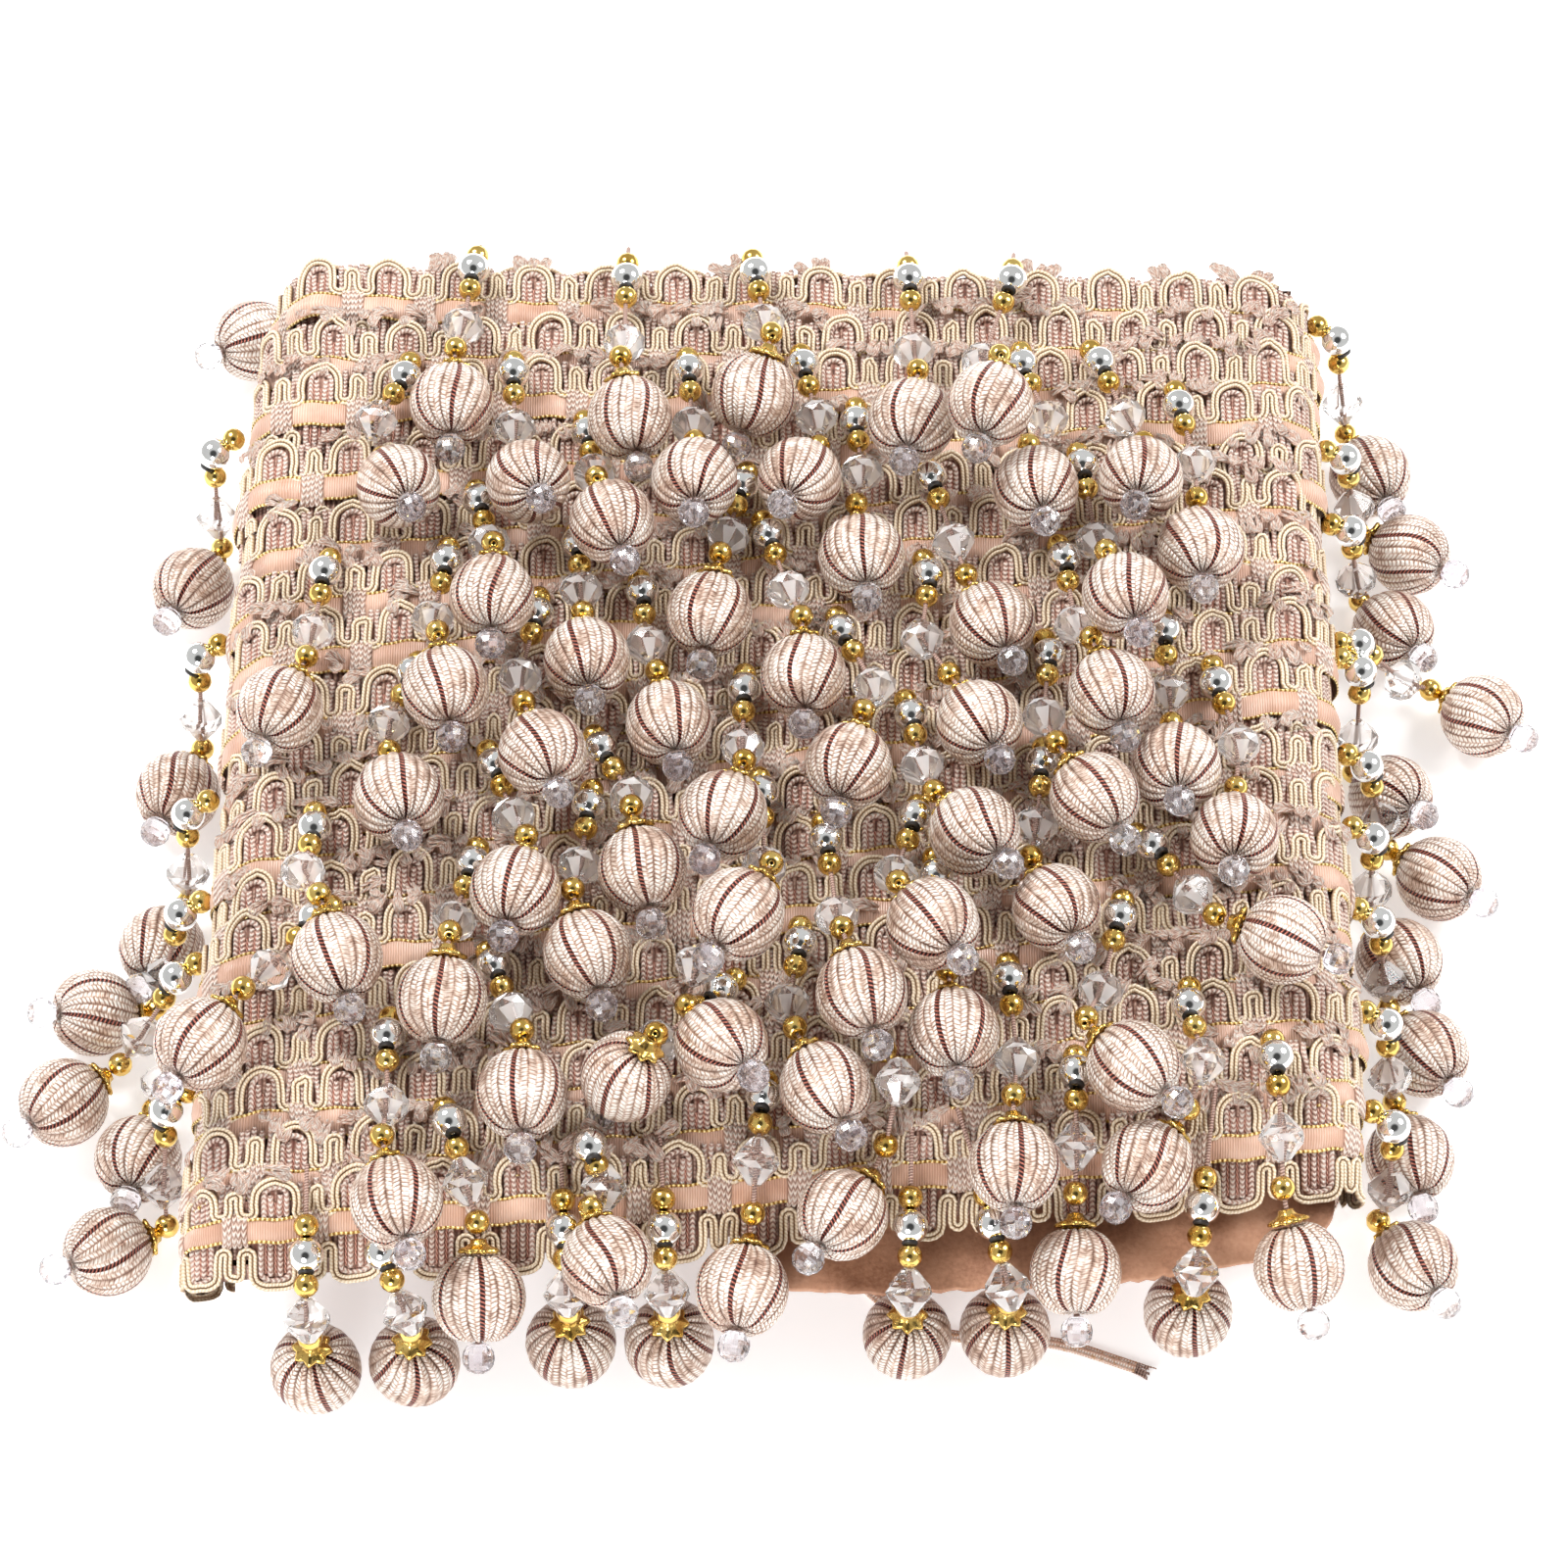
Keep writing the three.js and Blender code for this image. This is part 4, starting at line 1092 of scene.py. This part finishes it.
# the last number is the share of painted white highlight on the chosen facets
crystal = clear_material("clear_bead", srgb(255, 248, 244), 0.4)
crystal_end = clear_material("clear_end", srgb(226, 216, 224), 0.22)
black = thread_material("black_thread", srgb(44, 38, 36), srgb(16, 13, 13))
fleck_thread = thread_material("red_fleck", srgb(236, 190, 168), srgb(166, 84, 66), 0.75)
pink_thread = thread_material("blush_thread", srgb(206, 172, 158), srgb(140, 106, 94))
board = card_material()
tape_cloth = tape_material()

# The braid, turn by turn
MIDDLE = 10
cords, backing, flecks, ribbon, edging, bars = [Shape() for _ in range(6)]
chains, loops = [Shape(), Shape()], [Shape(), Shape()]
for k in range(1, LAST + 1):
    half = 0 if k < MIDDLE else 1
    lay_cords(cords, k)
    lay_ground(backing, k)
    lay_ribs(chains[half], flecks, k)
    lay_ribbon(ribbon, edging, bars, k)
    if k > 1:
        lay_loops(loops[half], k)
lay_tufts(loops[0])

braid_parts = [backing.build("braid_ground", ground), cords.build("braid_cords", cream),
               chains[0].build("braid_chains_rear", chain), chains[1].build("braid_chains_front", chain),
               flecks.build("braid_flecks", fleck_thread), ribbon.build("braid_ribbon", satin_ribbon),
               edging.build("braid_ribbon_edges", gold_thread), bars.build("braid_bars", bar_cord),
               loops[0].build("braid_loops_rear", yarn), loops[1].build("braid_loops_front", yarn)]
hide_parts("wound_braid")

# The rear and front ends of the pack, its underside, and the drops of the back pressed under it
closing, edge_cords, under_balls = Shape(), Shape(), Shape()


def across_pack(k, t, z):
    """Points across the pack from fold to fold, at the share t of turn k and the height z."""
    left, right = TURNS[k - 1][2:]
    x = np.linspace(left + 4, right - 4, 41)
    return np.stack([x, mix(edge(k, x), edge(k + 1, x), t), np.full(len(x), float(z))], -1)


stations = [across_pack(k, 0, UNDER + 0.6) for k in range(1, LAST + 1)]
stations += [across_pack(LAST, 0.5, LIP_UNDER), across_pack(LAST, 0.68, LIP_UNDER + 0.4)]
stations = np.array(stations)
closing.grid(stations, stations[..., :2])
for k, t, low, high in ((1, 0.28, UNDER, TOP - 2), (LAST, 0.68, LIP_UNDER, LIP_TOP + 3)):
    band = np.array([across_pack(k, t, low), across_pack(k, t, high)])
    closing.grid(band, band[..., [0, 2]])
for level in range(6):
    x = np.arange(TURNS[0][2] + 7, TURNS[0][3] - 7, 1.5)
    y = edge(1, x) - 2.6 + 1.1 * np.sin(x * 4 * PI / REPEAT + 2 * level)
    path = np.stack([x, y, 27.5 + 4.4 * level + 0.8 * np.sin(x / 7 + level)], -1)
    sweep(edge_cords, path, (0, 1, 0), [(a * 1.3, b * 1.6) for a, b in DOUBLE_CORD], u0=level)


def foot_corners(inset):
    """Front left, front right, rear right and rear left of the foot, moved inward."""
    left, right = FOOT["left"] + inset, FOOT["right"] - inset
    front, rear = FOOT["front"] + inset, FOOT["rear"] - inset
    return np.array([(left, front), (right, front), (right, rear), (left, rear)])


inner = foot_corners(9)
share = np.linspace(0, 1, 30)[:, None]
for start, end in zip(inner, np.roll(inner, -1, axis=0)):
    line = mix(start, end, share)
    wall = np.array([np.column_stack([line, np.full(len(line), z)]) for z in (0.8, 12, UNDER + 1)])
    closing.grid(wall, wall[..., [0, 2]] + wall[..., [1, 1]] * (1, 0))


def press_balls(start, end, inward):
    """A row of balls along one side of the foot."""
    count = int(np.linalg.norm(end - start) // 23.6)
    for i in range(count + 1):
        at = mix(start, end, i / count)
        turn = rng.uniform(0, 2 * PI)
        middle = vec(at[0] + inward[0] * rng.uniform(0, 2), at[1] + inward[1] * rng.uniform(0, 2), 11.9)
        wrapped_ball(under_balls, middle, vec(math.cos(turn), math.sin(turn), 0.0), around=36, rows=12)


# First and last corner of each row of pressed balls, how much it is shortened, and the way inward
places = foot_corners(12.2)
BALL_ROWS = ((0, 1, 0, (0, 1)), (3, 2, 0, (0, -1)), (0, 3, 24, (1, 0)), (1, 2, 24, (-1, 0)))
for first, last, trim, inward in BALL_ROWS:
    press_balls(places[first] + (0, trim), places[last] - (0, trim), inward)
for piece in (closing.build("braid_underside", ground), edge_cords.build("braid_rear_edges", cream)):
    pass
under_balls.build("back_balls", wrap)

# The card: its front edge is uneven, and torn near the right corner
x = np.linspace(-6, 116, 62)
t = np.linspace(0, 1, 15)[1:, None]
corner = (1 - t) ** 2 * vec(116, card_edge(116)) + 2 * t * (1 - t) * vec(137, -141) + t * t * vec(137, -126)
rim = np.concatenate([np.stack([x, card_edge(x)], -1), corner])
torn = np.exp(-((rim[:, 0] - 95) / 6) ** 2)
rim[:, 1] += 0.25 * np.sin(rim[:, 0] * 0.9) + 0.18 * np.sin(rim[:, 0] * 2.3)
rim[:, 1] += torn * 1.1 * np.sin(rim[:, 0] * 1.7)
back = np.stack([np.clip(rim[:, 0], -6, 134), edge(LAST + 1, rim[:, 0]) + 9.5], -1)
share = np.array([0, 0.02, 0.08, 0.2, 0.35, 0.5, 0.7, 1.0])[:, None]
flat = mix(rim[None], back[None], share[..., None])
top_z = 34.3 + 0.18 * np.sin(flat[..., 0] / 6) * np.sin(flat[..., 1] / 4 + 1) - 0.35 * (share < 0.01)
top_z = top_z + torn * np.exp(-((share - 0.1) / 0.12) ** 2)
card_top = np.concatenate([flat, top_z[..., None]], -1)
card_low = card_top[::-1].copy()
card_low[..., 2] = 33.1
card_shape = Shape()
card_shape.grid(np.concatenate([card_low, card_top]), np.concatenate([flat[::-1], flat]))
card_piece = card_shape.build("card_sheet", board)
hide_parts("card")

# The loose end of the woven tape, on the floor in front
tape_on_floor = [(14, -119), (24, -136), (41, -147), (58, -148.5), (72, -150.5), (89, -156.5)]
tape_route = smooth_path([(x, y, 0.85) for x, y in tape_on_floor])
tape, fray = Shape(), Shape()
sweep(tape, tape_route, (0, 0, 1), oval(12, 1.65, 0.6), closed=True)
tip, way = tape_route[-1], unit(tape_route[-1] - tape_route[-3])
sideways = np.array([-way[1], way[0], 0])
for i in range(14):
    across = sideways * mix(-1.5, 1.5, i / 13)
    reach = rng.uniform(2.0, 4.2)
    bend = np.array([rng.uniform(-0.7, 0.7), rng.uniform(-0.9, 0.6), 0])
    points = np.array([tip - way * 1.2 + across * 0.9, tip + across,
                       tip + way * reach * 0.5 + across * 1.25 + bend * 0.4,
                       tip + way * reach + across * 1.5 + bend])
    points *= (1, 1, rng.uniform(0.6, 1.2))
    sweep(fray, smooth_path(points, 3), (0, 0, 1), oval(4, 0.2, 0.2), closed=True)
tape_piece, fray_piece = tape.build("tape_end", tape_cloth), fray.build("tape_fray", pink_thread)
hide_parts("loose_end")
tape_length = float(distance_along(tape_route)[-1]) / 1000

# The drops
balls = [Shape(), Shape(), Shape()]
golds, silvers, clears, ends, caps, rings, threads = [Shape() for _ in range(7)]
STRING_UP = (0.3, 0.2, 0.9)
for index, (stops, ball, far) in enumerate(drops):
    wrapped_ball(balls[index * 3 // len(drops)], ball, far)
    end_bead(ends, ball + far * END_CENTRE, far)
    cap(caps, ball - far * 11.6, far)
    beads = string_of(stops, ball, far)
    for name, at, along in beads:
        if name == "gold":
            bead(golds, at, along, GOLD_RADIUS)
        elif name == "silver":
            bead(silvers, at, along, SILVER_RADIUS, sides=20, rows=12, hole=0.22)
            collar(rings, at + along * 4.15, along, 1.3, 0.75)
        else:
            faceted_bead(clears, at, along)
    from_root = sorted([at for _, at, _ in beads], key=lambda at: -np.linalg.norm(at - ball))
    sweep(threads, [stops[0][0], *from_root, ball - far * 11.0], STRING_UP, oval(5, 0.6, 0.6), closed=True)
    sweep(threads, [ball + far * 10.0, ball + far * 11.6], STRING_UP, oval(5, 0.8, 0.8), closed=True)
drop_parts = [shape.build(name, wrap) for shape, name in
              zip(balls, ("drop_balls_around", "drop_balls_front", "drop_balls_rear"))]
drop_parts += [golds.build("drop_gold_beads", gold), silvers.build("drop_silver_beads", silver),
               clears.build("drop_clear_beads", crystal, smooth=False),
               ends.build("drop_end_beads", crystal_end, smooth=False), caps.build("drop_caps", cap_gold),
               rings.build("drop_rings", black), threads.build("drop_strings", pink_thread)]
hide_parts(*[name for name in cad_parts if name.endswith("_drops") or "_drops_" in name])

# Floor, light and camera
floor_mesh = bpy.data.meshes.new("floor")
floor_mesh.from_pydata([(-3, -3, 0), (3, -3, 0), (3, 3, 0), (-3, 3, 0)], [], [(0, 1, 2, 3)])
floor = bpy.data.objects.new("floor", floor_mesh)
bpy.context.scene.collection.objects.link(floor)
paper = Nodes("pale_floor")
paper.set(Base_Color=paper.ramp(paper.noise(3), (0.3, (0.93, 0.93, 0.93)), (0.7, (0.95, 0.95, 0.95))),
          Roughness=0.9, Emission_Color=(1, 1, 1, 1), Emission_Strength=0.45)
floor_mesh.materials.append(paper.material)


def area_light(name, at, aim, size, power):
    data = bpy.data.lights.new(name, "AREA")
    data.shape, data.size, data.energy = "DISK", size, power
    data.color = (0.96, 0.985, 1.0)
    lamp = bpy.data.objects.new(name, data)
    bpy.context.scene.collection.objects.link(lamp)
    lamp.location = at
    lamp.rotation_euler = (Vector(aim) - Vector(at)).to_track_quat("-Z", "Y").to_euler()


area_light("key", (-0.7, 0.55, 1.2), (0, 0, 0), 0.6, 19)
area_light("fill", (1.0, 0.2, 1.0), (0, 0, 0), 0.7, 15)
area_light("front", (-0.3, -1.2, 0.6), (0, 0, 0.02), 0.6, 9)
world = bpy.data.worlds.new("studio")
world.use_nodes = True
tree = world.node_tree
sky = tree.nodes["Background"]
sky.inputs[1].default_value = 0.6
# White walls, and the darker part of the room from which the photograph is taken
toward = tree.nodes.new("ShaderNodeVectorMath")
toward.operation = "DOT_PRODUCT"
toward.inputs[1].default_value = (0, -0.53, 0.848)
tree.links.new(tree.nodes.new("ShaderNodeTexCoord").outputs["Generated"], toward.inputs[0])
room = tree.nodes.new("ShaderNodeValToRGB")
for stop, at, color in zip(room.color_ramp.elements, (0.86, 0.95), ((1, 1, 1, 1), (0.1, 0.1, 0.1, 1))):
    stop.position, stop.color = at, color
tree.links.new(toward.outputs["Value"], room.inputs[0])
tree.links.new(room.outputs[0], sky.inputs[0])
bpy.context.scene.world = world
bpy.context.scene.view_settings.view_transform = "Standard"

lens = bpy.data.cameras.new("camera")
lens.lens, lens.sensor_width = 116.1, 36
camera = bpy.data.objects.new("camera", lens)
bpy.context.scene.collection.objects.link(camera)
camera.location = (0.002, -0.6968, 1.1379)
camera.rotation_euler = (math.radians(32), 0, 0)
bpy.context.scene.camera = camera
